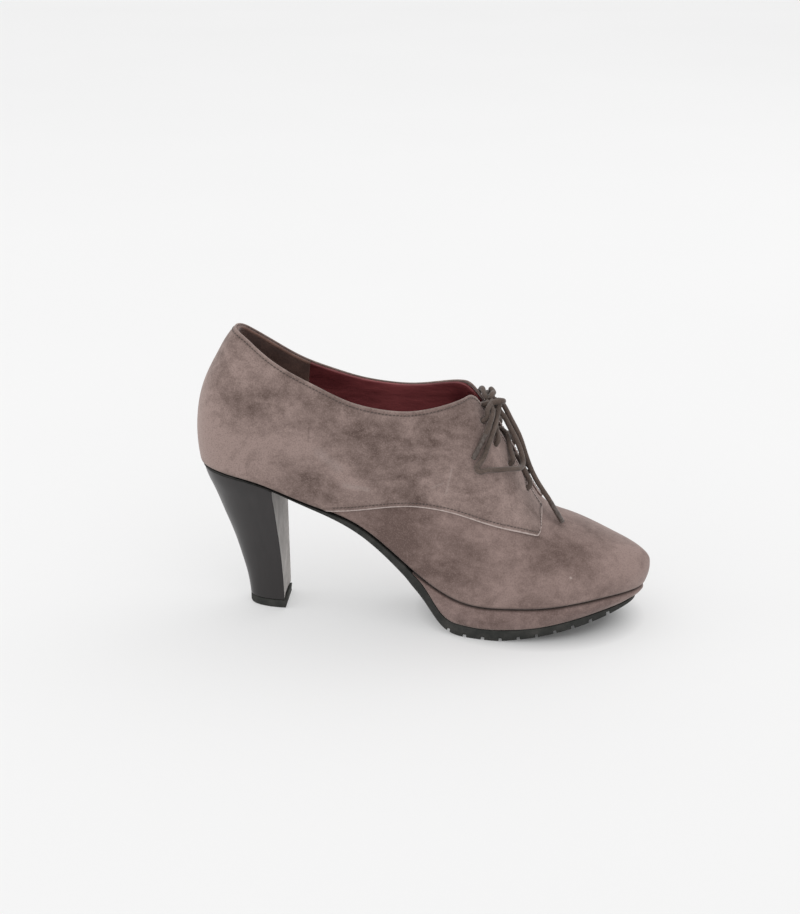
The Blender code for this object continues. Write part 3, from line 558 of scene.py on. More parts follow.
def quarter_edge(x):
    share = np.clip(x_share(x), QUARTER_EDGE[0, 0], QUARTER_EDGE[-1, 0])
    return SEAT_HEIGHT * smooth(QUARTER_EDGE[:, 0], QUARTER_EDGE[:, 1], share)


VAMP_ACROSS, VAMP_ALONG = 221, 150
BALL_SECTION = 0.62            # the vamp's points are spread evenly across this section
VAMP_LEATHER = 0.0010
VAMP_OVERLAP = 0.035           # share of the length that it runs on under the quarters
THROAT_FLAP = 0.022            # and beside the throat
EDGE_STEPS, EDGE_INSET = 40, 0.004       # where the quarters' edge is read
ARCH_POWER = 0.8               # below 1, the columns lie closer towards the feather line

ball_turn = np.array([turn_at(BALL_SECTION)])
half_arch = evenly(ball_turn, -1.0, 1.0, 0.0, VAMP_ACROSS // 2 + 1)[:, 0] ** ARCH_POWER
vamp_arch = np.concatenate([-half_arch, half_arch[-2::-1]])
edge_shares = np.linspace(QUARTER_EDGE[0, 0] + EDGE_INSET, QUARTER_EDGE[-1, 0], EDGE_STEPS)
vamp_back = np.zeros(VAMP_ACROSS)
for side in (-1.0, 1.0):
    edge_arch = arch_where(turn_at(edge_shares), side, lambda p: p[..., 2] < quarter_edge(p[..., 0]))
    mine = vamp_arch * side > 0
    order = np.argsort(edge_arch)
    read = np.interp(np.abs(vamp_arch[mine]), edge_arch[order], edge_shares[order])
    vamp_back[mine] = read - VAMP_OVERLAP
ridge_y = np.abs(last_point(np.full(VAMP_ACROSS, turn_at(THROAT_END)), vamp_arch)[:, 1])
throat = THROAT_END - rounding(HALF_GAP_END - ridge_y, HALF_GAP_END) / FOOT_LENGTH
vamp_back = np.where(ridge_y < HALF_GAP_END, throat, np.minimum(vamp_back, THROAT_END - THROAT_FLAP))
vamp_turn = turn_at(vamp_back) + (np.pi - turn_at(vamp_back)) * np.linspace(0, 1, VAMP_ALONG)[:, None]
vamp, *_ = leather(
    "vamp", turned_under(vamp_turn, vamp_arch, 0.0), turned_under(vamp_turn, vamp_arch, -VAMP_LEATHER),
    ("left", "start", "right"), VAMP_SUEDE)
spot_marks(vamp)
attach(vamp, "root")

# Quarters: the suede back of the upper, one sheet from facing to facing round the heel,
# stitched down over the vamp a little inside its raw cut edge, with four punched eyelets
# in each facing.

QUARTER_STEP = 0.0011
QUARTER_LIFT = 0.00005         # its inner face lies this far off the vamp
COLLAR_REACH = 0.030
HALF_GAP_TOP = 0.0075
THROAT_TOP = 0.617
THROAT_LEAD = 0.020
OPEN_FRONT = 0.812
FACING_FRONT = 0.7622
CORNER_RADIUS = 0.0024
TOP_CORNER = 0.0060            # radius of the facing's top corner
EYELET_HOLE = 0.0016
PUNCH_LONG = 0.012
# share of the length, height above the seat in back heights, and the inner side's drop
TOPLINE = np.array(((0.000, 1.080, 0.000), (0.085, 0.984, 0.000), (0.145, 0.868, 0.040),
                    (0.208, 0.746, 0.055), (0.276, 0.645, 0.042), (0.343, 0.558, 0.020),
                    (0.407, 0.515, 0.005), (0.474, 0.509, 0.000), (0.534, 0.545, 0.005),
                    (0.589, 0.582, 0.005), (0.620, 0.592, 0.000), (0.660, 0.600, 0.000)))
# bottom pair first: share of the length, and distance from the ridge in ball widths
EYELETS = ((0.727, 0.157), (0.688, 0.213), (0.656, 0.226), (0.626, 0.203))


def topline(p):
    share = np.clip(x_share(p[..., 0]), 0, TOPLINE[-1, 0])
    height = SEAT_HEIGHT + BACK_HEIGHT * smooth(TOPLINE[:, 0], TOPLINE[:, 1], share)
    drop = BACK_HEIGHT * smooth(TOPLINE[:, 0], TOPLINE[:, 2], share)
    return height - drop * (p[..., 1] + COLLAR_REACH) / (2 * COLLAR_REACH)


def half_gap(x):
    start = share_x(THROAT_TOP) - THROAT_LEAD
    end = share_x(OPEN_FRONT) - HALF_GAP_END
    wide = HALF_GAP_TOP + (HALF_GAP_END - HALF_GAP_TOP) * (x - start) / (end - start)
    return np.where(x < start, -1.0, wide)


QUARTER_COLUMNS, QUARTER_ROWS = 270, 66
FRONT_COLUMNS, FRONT_TURN = 16, 0.05     # closer columns round the facing's front end
front_x = share_x(FACING_FRONT)
front_turn = turn_at(FACING_FRONT)
closer = np.cos(np.linspace(0.25, 1, FRONT_COLUMNS) * np.pi / 2)
half_turns = np.concatenate([np.linspace(0, front_turn - FRONT_TURN, QUARTER_COLUMNS),
                             front_turn - FRONT_TURN * closer])
quarter_turns = np.concatenate([-half_turns[:0:-1], half_turns])


def upper_grid(turns, rows, bottom, rise=0.0, tuck=0.0):
    """Turn and arch of a grid from the bottom border to the topline or facing edge."""
    side = np.where(turns < 0, -1.0, 1.0)
    turn = np.abs(turns)

    def under_top(p):
        gap = half_gap(p[..., 0])
        pull = rounding(front_x - p[..., 0], CORNER_RADIUS)
        below = topline(p) + rise - p[..., 2]
        beside = np.where(gap > 0, np.abs(p[..., 1]) - gap - pull + tuck, 1.0)
        lack = np.hypot(np.maximum(TOP_CORNER - below, 0), np.maximum(TOP_CORNER - beside, 0))
        return (below > 0) & (beside > 0) & (lack < TOP_CORNER)

    high = arch_where(turn, side, under_top)
    return turn, side * evenly(turn, side, bottom(turn, side), high, rows)


def under_edge(p):
    edge = quarter_edge(p[..., 0]) + rounding(front_x - p[..., 0], CORNER_RADIUS)
    return (p[..., 2] < edge) & (p[..., 0] > EDGE_START)


def nearest(points):
    """Tree that finds the nearest of some points."""
    tree = kdtree.KDTree(len(points))
    for i, point in enumerate(points):
        tree.insert(point, i)
    tree.balance()
    return tree


def mark_cut(made, cut, outer):
    """Marks how far each point is from the cut edge, below 0 away from the outer face."""
    line = [cut[:-1] + np.diff(cut, axis=0) * part for part in (0, 0.25, 0.5, 0.75)]
    edge, shell = nearest(np.vstack([*line, cut[-1:]])), nearest(outer.reshape(-1, 3))
    mark(made, "from_edge", [edge.find(p)[2] * (1 if shell.find(p)[2] < ON_FACE else -1)
                             for p in points_of(made)])


QUARTER_SUEDE = suede("quarter_suede", (0.100, 0.068, 0.059), (0.302, 0.225, 0.203),
                      pale_edge=(0.62, 0.53, 0.50))
ON_FACE = 1e-5                 # points this near the outer face lie on it
RAW_FROM = 0.0008              # above the feather line the edge is cut and not turned under
DYED_BELOW, DYED_SHARE = 0.003, 0.15     # under the topline's own edge the cut shows little pale

turn, arch = upper_grid(quarter_turns, QUARTER_ROWS, lambda turn, side: arch_where(turn, side, under_edge))
quarter_outer = turned_under(turn, arch, QUARTER_STEP)
quarters, quarter_rim, quarter_inward, quarter_normal = leather(
    "quarters", quarter_outer, turned_under(turn, arch, QUARTER_LIFT),
    ("start", "right", "end", "left"), QUARTER_SUEDE, closed=True)
mark_cut(quarters, quarter_rim[above_feather(quarter_rim) > RAW_FROM], quarter_outer)
spot_marks(quarters)
quarter_points = points_of(quarters)
mark(quarters, "cut_raw", np.where(topline(quarter_points) - quarter_points[:, 2] > DYED_BELOW,
                                   1.0, DYED_SHARE))


def at_distance(turn, side, reach):
    """Arch, on one side, of the place that lies this far from the middle plane."""
    return side * arch_where(np.array([turn]), side, lambda p: np.abs(p[..., 1]) > reach)[0]


def eyelet_place(eyelet, side):
    """Centre on the vamp's outer face, and direction, of one eyelet."""
    turn = turn_at(eyelet[0])
    arch = at_distance(turn, side, eyelet[1] * BALL_WIDTH)
    return last_point(turn, arch), outward(turn, arch)


def tool_from(build, name):
    """Object that cuts others, from a mesh under construction."""
    mesh = bpy.data.meshes.new(name)
    build.to_mesh(mesh)
    build.free()
    return bpy.data.objects.new(name, mesh)


def cut_with(made, tool, name):
    """Cuts a closed mesh with another, and applies it."""
    bpy.context.collection.objects.link(tool)
    step = made.modifiers.new(name, "BOOLEAN")
    step.operation = "DIFFERENCE"
    step.solver = "MANIFOLD"
    step.object = tool
    graph = bpy.context.evaluated_depsgraph_get()
    cut = bpy.data.meshes.new_from_object(made.evaluated_get(graph), preserve_all_data_layers=True,
                                          depsgraph=graph)
    made.modifiers.clear()
    made.data = cut
    bpy.context.collection.objects.unlink(tool)


holes = bmesh.new()
for eyelet in EYELETS:
    for side in (-1.0, 1.0):
        centre, normal = eyelet_place(eyelet, side)
        turned = Vector((0, 0, 1)).rotation_difference(Vector(normal)).to_matrix().to_4x4()
        turned.translation = Vector(centre)
        bmesh.ops.create_cone(holes, cap_ends=True, segments=24, radius1=EYELET_HOLE,
                              radius2=EYELET_HOLE, depth=PUNCH_LONG, matrix=turned)
punch = tool_from(holes, "eyelet_punch")
cut_with(quarters, punch, "eyelets")
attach(quarters, "root")
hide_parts("upper")

# Stitches: one row of dark thread along the quarters' cut edge and the topline, set in the
# suede with a small slant.

STITCH_PITCH = 0.0019
STITCH_LONG = 0.0014
STITCH_THICK = 0.00022         # radius
STITCH_SIDES = 6
STITCH_SLANT = 0.12
STITCH_PROUD = 0.00004         # its middle stands this far over the suede
STITCHED_FROM = 0.0012         # above the feather line
SHORTEST_ROW = 20              # points of the rim
STITCH_AHEAD = 0.0005          # the seam's direction is read over this distance
# place along a stitch, and thickness there
STITCH_PROFILE = ((-0.5, 0.0), (-0.42, 0.7), (-0.2, 1.0), (0.2, 1.0), (0.42, 0.7), (0.5, 0.0))
THREAD = finish("seam_thread", (0.040, 0.028, 0.024), 0.8, Sheen_Weight=0.2)
join(THREAD, mixed(THREAD, noise(THREAD, 2600.0, 2.0), (0.030, 0.020, 0.017), (0.075, 0.055, 0.047)))


def ring_faces(rings, sides, closed=False):
    """Faces of a skin over rings that have the same number of points."""
    k, i = np.meshgrid(np.arange(rings if closed else rings - 1), np.arange(sides), indexing="ij")
    a, b, ahead = k * sides, (k + 1) % rings * sides, (i + 1) % sides
    return np.stack([a + i, a + ahead, b + ahead, b + i], -1).reshape(-1, 4).tolist()


def read_at(run, rows, at):
    """Rows of numbers along a line, read between its points."""
    return np.array([np.interp(at, run, rows[:, k]) for k in range(3)])


stitch_angles = np.arange(STITCH_SIDES) * 2 * np.pi / STITCH_SIDES
unit_stitch = np.array([(x, r * np.cos(a), r * np.sin(a)) for x, r in STITCH_PROFILE for a in stitch_angles])
unit_faces = np.array(ring_faces(len(STITCH_PROFILE), STITCH_SIDES))


def stitch_row(line, normal):
    """Points of each of the stitches along a line on the leather."""
    run = running(line)
    row = []
    for at in np.arange(STITCH_PITCH, run[-1] - STITCH_PITCH, STITCH_PITCH):
        centre = read_at(run, line, at)
        n = read_at(run, normal, at)
        n /= np.linalg.norm(n)
        along = read_at(run, line, at + STITCH_AHEAD) - centre
        along /= np.linalg.norm(along)
        over = np.cross(n, along)
        along = along + STITCH_SLANT * over
        stretched = unit_stitch * (STITCH_LONG, STITCH_THICK, STITCH_THICK)
        row.append(centre + n * STITCH_PROUD + stretched @ np.stack([along, over, n]))
    return row


stitched = above_feather(quarter_rim) > STITCHED_FROM
stitch_line = quarter_rim + STITCH_SETBACK * quarter_inward
starts = np.flatnonzero(np.diff(np.concatenate([[0], stitched.astype(int), [0]])))
stitch_points = []
for first, last in zip(starts[::2], starts[1::2]):
    if last - first > SHORTEST_ROW:
        stitch_points += stitch_row(stitch_line[first:last], quarter_normal[first:last])
stitch_faces = np.vstack([unit_faces + k * len(unit_stitch) for k in range(len(stitch_points))])
stitches = piece("stitches", np.vstack(stitch_points), stitch_faces.tolist(), [THREAD], weld=False)
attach(stitches, "root")

# Lining: burgundy leather under the quarters and in the toe, brown suede round the heel,
# glued to the upper and showing as a thin dark line along the topline.

LINING_TUCK = 0.0005
LINING_OUT, LINING_IN = -0.00005, -WALL
LINING_FOOT = 0.0034           # the lining ends this far above the feather line
LINING_ROWS = 50
COUNTER_SHARE = 0.225
COUNTER_COLUMNS = 171
COUNTER_EXTRA = 0.0004         # the counter's suede is thicker
COUNTER_LAP = 0.030            # turn that the burgundy runs on behind it
FACING_TURN = 0.0035           # the facing's edge is turned in this far in front of the lining
TOE_ROWS, TOE_COLUMNS = 60, 81
TOE_LINING_GAP = 0.00002

BURGUNDY = finish("burgundy_leather", (0.140, 0.030, 0.034), 0.5, Specular_IOR_Level=0.4)
burgundy_wave = noise(BURGUNDY, 60.0, 4.0, stretch=(0.6, 1.0, 2.4), rough=0.6)
join(BURGUNDY, mixed(BURGUNDY, span(BURGUNDY, burgundy_wave, 0.35, 0.65), (0.125, 0.022, 0.025),
                     (0.235, 0.055, 0.058)))
join(BURGUNDY, span(BURGUNDY, burgundy_wave, 0.3, 0.7, 0.58, 0.42), "Roughness")
dent(BURGUNDY, (noise(BURGUNDY, 900.0, 3.0), 0.00005), (burgundy_wave, 0.0006))

COUNTER_SUEDE = finish("brown_counter_suede", (0.055, 0.028, 0.022), 1.0, Sheen_Weight=0.3,
                       Sheen_Roughness=0.5)
counter_patch = span(COUNTER_SUEDE, noise(COUNTER_SUEDE, 90.0, 4.0), 0.3, 0.7)
join(COUNTER_SUEDE, mixed(COUNTER_SUEDE, counter_patch, (0.085, 0.040, 0.029), (0.170, 0.092, 0.070)))
dent(COUNTER_SUEDE, (noise(COUNTER_SUEDE, 1600.0, 3.0), 0.0001))


def lining_bottom(turn, side):
    foot = feather_height(turn) + LINING_FOOT
    return arch_where(turn, side, lambda p: p[..., 2] < foot)


counter_turn = turn_at(COUNTER_SHARE)
collar_turns = half_turns[half_turns > counter_turn - COUNTER_LAP]
counter_turns = np.linspace(-counter_turn, counter_turn, COUNTER_COLUMNS)
for name, turns, material, extra in (
        ("lining_outer_side", -collar_turns[::-1], BURGUNDY, 0.0),
        ("lining_inner_side", collar_turns, BURGUNDY, 0.0),
        ("counter_lining", counter_turns, COUNTER_SUEDE, COUNTER_EXTRA)):
    turn, arch = upper_grid(turns, LINING_ROWS, lining_bottom, -LINING_TUCK, -FACING_TURN)
    lining, *_ = leather(
        name, lasted(turn, arch, LINING_OUT), lasted(turn, arch, LINING_IN - extra),
        ("start", "right", "end", "left"), material, closed=True)
    cut_with(lining, punch, "eyelets")
    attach(lining, "root")

toe_turn = np.linspace(turn_at(THROAT_END), np.pi, TOE_ROWS)[:, None]
toe_arch = np.linspace(-1, 1, TOE_COLUMNS)
toe_lining, *_ = leather(
    "toe_lining", turned_under(toe_turn, toe_arch, -VAMP_LEATHER - TOE_LINING_GAP),
    turned_under(toe_turn, toe_arch, LINING_IN), ("left", "start", "right"), BURGUNDY)
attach(toe_lining, "root")

# Tongue: a slip of the same suede under the facings, sewn to the vamp below the throat,
# with rounded corners at its top. Its suede is painted darker, as shade for where it lies between the
# facings.

TONGUE_THICK = 0.0014
TONGUE_HALF_WIDTH = 0.0175
TONGUE_TOP, TONGUE_END = 0.616, 0.775
TONGUE_CORNER = 0.010
TONGUE_SINK = 0.0022           # how far the laces press it down along its middle
SINK_FROM, SINK_FULL = 0.002, 0.008      # distance from its top
SINK_FADE = 0.012              # distance from its lower end
TONGUE_ROWS, TONGUE_COLUMNS = 70, 61

# painted shade: the tongue's suede is a darker copy of the vamp's
SHADED_TONGUE_SUEDE = suede("tongue_suede_painted_shade", (0.060, 0.040, 0.034), (0.150, 0.108, 0.095))
tongue_y = np.linspace(-1, 1, TONGUE_COLUMNS)
tongue_side = np.where(tongue_y < 0, -1.0, 1.0)
tongue_outer, tongue_inner = [], []
for turn in np.linspace(turn_at(TONGUE_TOP), turn_at(TONGUE_END), TONGUE_ROWS):
    from_top = (share_at(turn) - TONGUE_TOP) * FOOT_LENGTH
    from_end = (TONGUE_END - share_at(turn)) * FOOT_LENGTH
    reach = np.abs(tongue_y) * (TONGUE_HALF_WIDTH - rounding(from_top, TONGUE_CORNER))
    row = np.full(TONGUE_COLUMNS, turn)
    arch = tongue_side * arch_where(row, tongue_side, lambda p: np.abs(p[..., 1]) > reach)
    pressed = np.clip((from_top - SINK_FROM) / (SINK_FULL - SINK_FROM), 0, 1)
    sink = TONGUE_SINK * (1 - tongue_y ** 2) * pressed * np.clip(from_end / SINK_FADE, 0, 1)
    normal = outward(row, arch)
    tongue_outer.append(last_point(row, arch) - (WALL + GAP + sink)[:, None] * normal)
    tongue_inner.append(tongue_outer[-1] - TONGUE_THICK * normal)
tongue, *_ = leather("tongue_slip", np.array(tongue_outer), np.array(tongue_inner),
                     ("start", "right", "end", "left"), SHADED_TONGUE_SUEDE, closed=True)
spot_marks(tongue)
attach(tongue, "root")
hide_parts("tongue")

# Sock: burgundy leather glued over the insole from heel to toe, slightly hollowed where the
# foot rests.

INSOLE = 0.0020
INSOLE_MARGIN = 0.0009
SOCK_HOLLOW = 0.0012
SOCK_BEVEL = 0.0018            # its lower edge is skived this far in
SOCK_ALONG, SOCK_ACROSS = 181, 41
SOCK_LEATHER = finish("sock_leather", (0.075, 0.018, 0.020), 0.5, Specular_IOR_Level=0.4)
sock_wave = span(SOCK_LEATHER, noise(SOCK_LEATHER, 50.0, 4.0, stretch=(1.0, 0.5, 1.0)), 0.35, 0.65)
join(SOCK_LEATHER, mixed(SOCK_LEATHER, sock_wave, (0.100, 0.020, 0.023), (0.180, 0.046, 0.049)))
dent(SOCK_LEATHER, (noise(SOCK_LEATHER, 800.0, 3.0), 0.00006))


def outline(turns, grow, height):
    """Lateral and medial row of the feather line, grown, at a height read along the foot."""
    rows = []
    for side in (-1.0, 1.0):
        row = last_point(turns, np.full(len(turns), side), grow)
        row[:, 2] = height(turn_at(x_share(row[:, 0])))
        rows.append(row)
    return rows


sock_turns = np.linspace(0, np.pi, SOCK_ALONG)
sock_grow = np.full(SOCK_ALONG, -(WALL + INSOLE_MARGIN))
sock_part = np.linspace(0, 1, SOCK_ACROSS)[:, None, None]
sock_top, sock_low = (outer * (1 - sock_part) + inner * sock_part for outer, inner in (
    outline(sock_turns, sock_grow, lambda turn: feather_height(turn) + INSOLE),
    outline(sock_turns, sock_grow - SOCK_BEVEL, feather_height)))
sock_top[..., 2] -= SOCK_HOLLOW * np.sin(np.pi * sock_part[..., 0]) ** 0.8 * np.sin(sock_turns) ** 0.5
sock, *_ = leather("sock", sock_top, sock_low, ("start", "end"), SOCK_LEATHER, closed=True)
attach(sock, "root")
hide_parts("insole")

# Platform: a block under the forepart, wrapped in the upper's suede, its top edge rolled
# over just under the groove, whose shade is painted dark on it, and its wall leaning in towards the rubber.

PLATFORM_START = 0.485
PLATFORM_LEAD = 0.015
BALL_SHARE = 0.600
PLATFORM_INSET = 0.0018
TOE_INSET = 0.0028
TOE_LEAN_FADE = 8
ROLL_RADIUS = 0.0016
ROLL_SHARE = 0.4               # most of the depth that the rolled edge takes up
WALL_BOW = 0.00035             # how far the wall swells at half its height
THIN_DEPTH = 0.004             # where the block is thinner, the insets and the bow are smaller too
TOP_INSETS = (0.0040, 0.0022)
PLATFORM_GROOVE_SHADE = 0.0009       # how far the painted shade of the groove spreads on it
PLATFORM_POINTS = 200
# share of the length, platform and rubber thickness as shares of their full ones
SOLE = np.array(((0.000, 0.00, 0.20), (0.250, 0.00, 0.20), (0.300, 0.00, 0.38), (0.350, 0.00, 0.56),
                 (0.400, 0.00, 0.70), (0.450, 0.00, 0.89), (0.485, 0.05, 1.12), (0.510, 0.22, 1.24),
                 (0.550, 0.93, 1.06), (0.600, 1.04, 1.02), (0.650, 1.00, 1.02), (0.700, 0.98, 0.94),
                 (0.800, 0.83, 0.78), (0.900, 0.66, 0.68), (0.970, 0.52, 0.40), (1.000, 0.42, 0.34)))


def platform_depth(turns):
    share = share_at(turns)
    depth = PLATFORM * smooth(SOLE[:, 0], SOLE[:, 1], share)
    return np.where(share < PLATFORM_START, 0.0, np.maximum(depth, GAP))


def platform_lean(turns):
    share = share_at(turns)
    rise = np.clip((share - PLATFORM_START) / (BALL_SHARE - PLATFORM_START), 0, 1)
    return -(PLATFORM_INSET * rise + TOE_INSET * share ** TOE_LEAN_FADE)


def roll_size(depth):
    return np.minimum(ROLL_RADIUS, depth * ROLL_SHARE)


def loft(name, layers, material):
    """Closed solid from layers, each a lateral and a medial row that start in one point
    or in a flat end."""
    count = len(layers[0][0])
    points = np.vstack([row for layer in layers for row in layer])
    faces = []
    for k in range(len(layers) - 1):
        for side in (0, 1):
            a, b = (2 * k + side) * count, (2 * k + 2 + side) * count
            faces += [(a + i, a + i + 1, b + i + 1, b + i) for i in range(count - 1)]
        for i in (0, count - 1):
            a, b = 2 * k * count + i, 2 * (k + 1) * count + i
            faces.append((a, a + count, b + count, b))
    for k in (0, len(layers) - 1):
        a = 2 * k * count
        faces += [(a + i, a + i + 1, a + count + i + 1, a + count + i) for i in range(count - 1)]
    return piece(name, points, faces, [material])


PLATFORM_SUEDE = suede("platform_suede", (0.105, 0.070, 0.062), (0.275, 0.198, 0.180))
platform_turns = np.linspace(turn_at(PLATFORM_START), np.pi, PLATFORM_POINTS)
lean = platform_lean(platform_turns)
depth = platform_depth(platform_turns)
thinned = np.minimum(depth / THIN_DEPTH, 1)
# each layer: how far it is grown, share of the roll and share of the wall that lie above it
layers = [(-inset * thinned, 0.0, 0.0) for inset in TOP_INSETS]
for angle in np.linspace(0.15, 1, 7) * np.pi / 2:
    layers.append((-roll_size(depth) * (1 - np.sin(angle)), 1 - np.cos(angle), 0.0))
for part in np.linspace(0.12, 1, 12):
    slope = np.interp(part, (0, 0.5, 1), (0, 0.35, 1))
    layers.append((slope * lean + WALL_BOW * np.sin(np.pi * part) * thinned, 1.0, part))


def platform_height(turn, rolled, down):
    deep = platform_depth(turn)
    roll = roll_size(deep)
    return feather_height(turn) - GAP - roll * rolled - down * (deep - roll)


platform = loft("wrapped_platform", [
    outline(platform_turns, grow, lambda turn: platform_height(turn, rolled, down))
    for grow, rolled, down in layers], PLATFORM_SUEDE)
spot_marks(platform, PLATFORM_GROOVE_SHADE)
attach(platform, "root")
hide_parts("platform")

# Outsole: one moulding of dark rubber, lugged under the forepart, thin along the waist and
# over the heel seat, glued up under platform and upper.

WELT_EDGE = 0.0006
LUG_DEPTH = 0.0020
LUG_GAP = 0.0018
LUG_PITCH = 0.0097
LUG_REACH = 0.0100
LUG_START = 0.565
LUG_COUNT = 10
LUG_OUT = 0.015                # the slot runs on this far outside the edge
TREAD_CUT = 0.0011             # depth of the fine grooves between the lugs
TREAD_WIDE, TREAD_TALL = 0.0014, 0.006
TREAD_MARGIN = 0.003           # between a fine groove and the slots
TREAD_LEAST = 0.006            # no fine groove is shorter
TREAD_LAP, TREAD_SHIFT, TREAD_SLANT = 1.04, 0.002, 0.35
SLOPE_TURN = 0.03              # the sole's slope at a lug is read over this turn
WAIST_POINTS, WAIST_END = 110, 0.02      # the waist's last point lies this turn before the platform
# inset and share of the thickness of each layer, top first
SOLE_LAYERS = ((0.0020, 0.0), (0.0003, 0.0), (0.00008, 0.02), (0.0, 0.06), (0.0, 0.25), (0.0, 0.5),
               (0.0, 0.70), (0.0003, 0.80), (0.0007, 0.90), (0.0012, 1.0), (0.0030, 1.0))

RUBBER = finish("dark_rubber", (0.030, 0.030, 0.028), 0.75, Specular_IOR_Level=0.25)
rubber_scuff = noise(RUBBER, 120.0, 5.0, rough=0.7)
join(RUBBER, mixed(RUBBER, span(RUBBER, rubber_scuff, 0.42, 0.75), (0.022, 0.023, 0.021),
                   (0.055, 0.053, 0.049)))
join(RUBBER, span(RUBBER, rubber_scuff, 0.3, 0.7, 0.62, 0.85), "Roughness")
dent(RUBBER, (noise(RUBBER, 2200.0, 2.0), 0.00003), (rubber_scuff, 0.0001))


def outsole_top(turns):
    under = np.clip((share_at(turns) - PLATFORM_START + PLATFORM_LEAD) / PLATFORM_LEAD, 0, 1)
    ahead = np.maximum(turns, turn_at(PLATFORM_START))
    return feather_height(turns) - GAP - under * (platform_depth(ahead) + GAP)


def outsole_bottom(turns):
    thick = OUTSOLE * smooth(SOLE[:, 0], SOLE[:, 2], share_at(turns))
    return np.maximum(outsole_top(turns) - thick, 0.0)


waist_turns = np.linspace(0, turn_at(PLATFORM_START) - WAIST_END, WAIST_POINTS)
sole_turns = np.concatenate([waist_turns, platform_turns])
proud = platform_lean(sole_turns) + WELT_EDGE * np.sin(sole_turns / 2)
outsole = loft("lugged_outsole", [
    outline(sole_turns, proud - inset,
            lambda turn: outsole_top(turn) * (1 - down) + outsole_bottom(turn) * down)
    for inset, down in SOLE_LAYERS], RUBBER)

grooves = bmesh.new()


def groove(centre, size, turned, slope):
    """One slot of the mould, a box laid along the sole."""
    spin = Matrix.Rotation(turned, 4, "Z") @ Matrix.Rotation(-slope, 4, "Y")
    spread = Matrix.Diagonal((*size, 1.0))
    bmesh.ops.create_cube(grooves, size=1.0, matrix=Matrix.Translation(centre) @ spin @ spread)


for k in range(LUG_COUNT):
    turn = turn_at(LUG_START + k * LUG_PITCH / FOOT_LENGTH)
    ground, ahead = outsole_bottom(np.array([turn, turn + SLOPE_TURN]))
    roof = ground + LUG_DEPTH
    forward = last_point(turn + SLOPE_TURN, 1.0)[0] - last_point(turn, 1.0)[0]
    slope = np.arctan2(ahead - ground, forward)
    for side in (-1.0, 1.0):
        edge = last_point(turn, side, platform_lean(turn))
        wide = LUG_REACH + LUG_OUT
        groove((edge[0], edge[1] + side * (wide / 2 - LUG_REACH), roof - 2 * LUG_DEPTH),
               (LUG_GAP, wide, 4 * LUG_DEPTH), 0.0, slope)
        inner = abs(edge[1]) - LUG_REACH - TREAD_MARGIN
        if inner > TREAD_LEAST:
            tread_middle = roof - LUG_DEPTH + TREAD_CUT - TREAD_TALL / 2
            groove((edge[0] + TREAD_SHIFT, side * inner / 2, tread_middle),
                   (TREAD_WIDE, inner * TREAD_LAP, TREAD_TALL), side * TREAD_SLANT, slope)
cut_with(outsole, tool_from(grooves, "tread_mould"), "tread")
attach(outsole, "root")
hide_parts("outsole")

# Heel: a tall moulded block, D-shaped in plan, flared to the seat and lacquered black. Its
# flat breast is covered in ribbed grey leather.

TREAD_LENGTH = 0.0200
TREAD_HALF_WIDTH = 0.0120
TREAD_SQUARE = 0.75
BREAST_SHARE = 0.168
BREAST_HOLLOW = 0.0007
TOP_PIECE = 0.0047
TOP_PIECE_LIP = 0.0008
HEEL_MARGIN = 0.0004
HEEL_EDGE = 0.0005             # how far its edges are rounded
SHARP = 0.6                    # angle from which an edge is rounded
# share of the height, and of the flare at the back and at the sides
HEEL = np.array(((0.00, 0.00, 0.00), (0.14, 0.06, 0.04), (0.29, 0.18, 0.13), (0.47, 0.35, 0.30),
                 (0.67, 0.59, 0.56), (0.84, 0.80, 0.80), (0.94, 0.94, 0.94), (1.00, 1.00, 1.00)))
HEEL_RING = 60
HEEL_LAYERS = 61
BREAST_STEPS = 13


def tread_rows(count, lip=0.0):
    angle = np.linspace(0, np.pi / 2, count)
    x = TREAD_LENGTH / 2 + lip - (TREAD_LENGTH + lip) * np.cos(angle)
    y = TREAD_HALF_WIDTH * np.sin(angle) ** TREAD_SQUARE
    return x, y


LACQUER = finish("black_lacquer", (0.014, 0.012, 0.012), 0.28, Coat_Weight=0.15, Coat_Roughness=0.12,
                 Specular_IOR_Level=0.42)
lacquer_streak = noise(LACQUER, 90.0, 3.0, stretch=(4.0, 4.0, 0.25))
join(LACQUER, mixed(LACQUER, lacquer_streak, (0.010, 0.008, 0.008), (0.022, 0.018, 0.018)))
join(LACQUER, span(LACQUER, lacquer_streak, 0.3, 0.7, 0.30, 0.42), "Roughness")

BREAST = finish("ribbed_breast_cover", (0.30, 0.275, 0.26), 0.75, Specular_IOR_Level=0.3)
breast_rib = add(BREAST, "TexWave", {"bands_direction": "Y"}, Scale=150.0, Distortion=1.2, Detail=2.0,
                 Vector=here(BREAST, Rotation=(-0.45, 0.0, 0.0))).outputs["Fac"]
breast_cloud = span(BREAST, noise(BREAST, 120.0, 4.0), 0.3, 0.7)
breast_colour = mixed(BREAST, breast_cloud, (0.38, 0.355, 0.340), (0.58, 0.550, 0.530))
join(BREAST, mixed(BREAST, span(BREAST, breast_rib, 0.2, 0.8, 0.0, 0.5), breast_colour,
                   (0.22, 0.20, 0.19)))
dent(BREAST, (breast_rib, 0.00012))

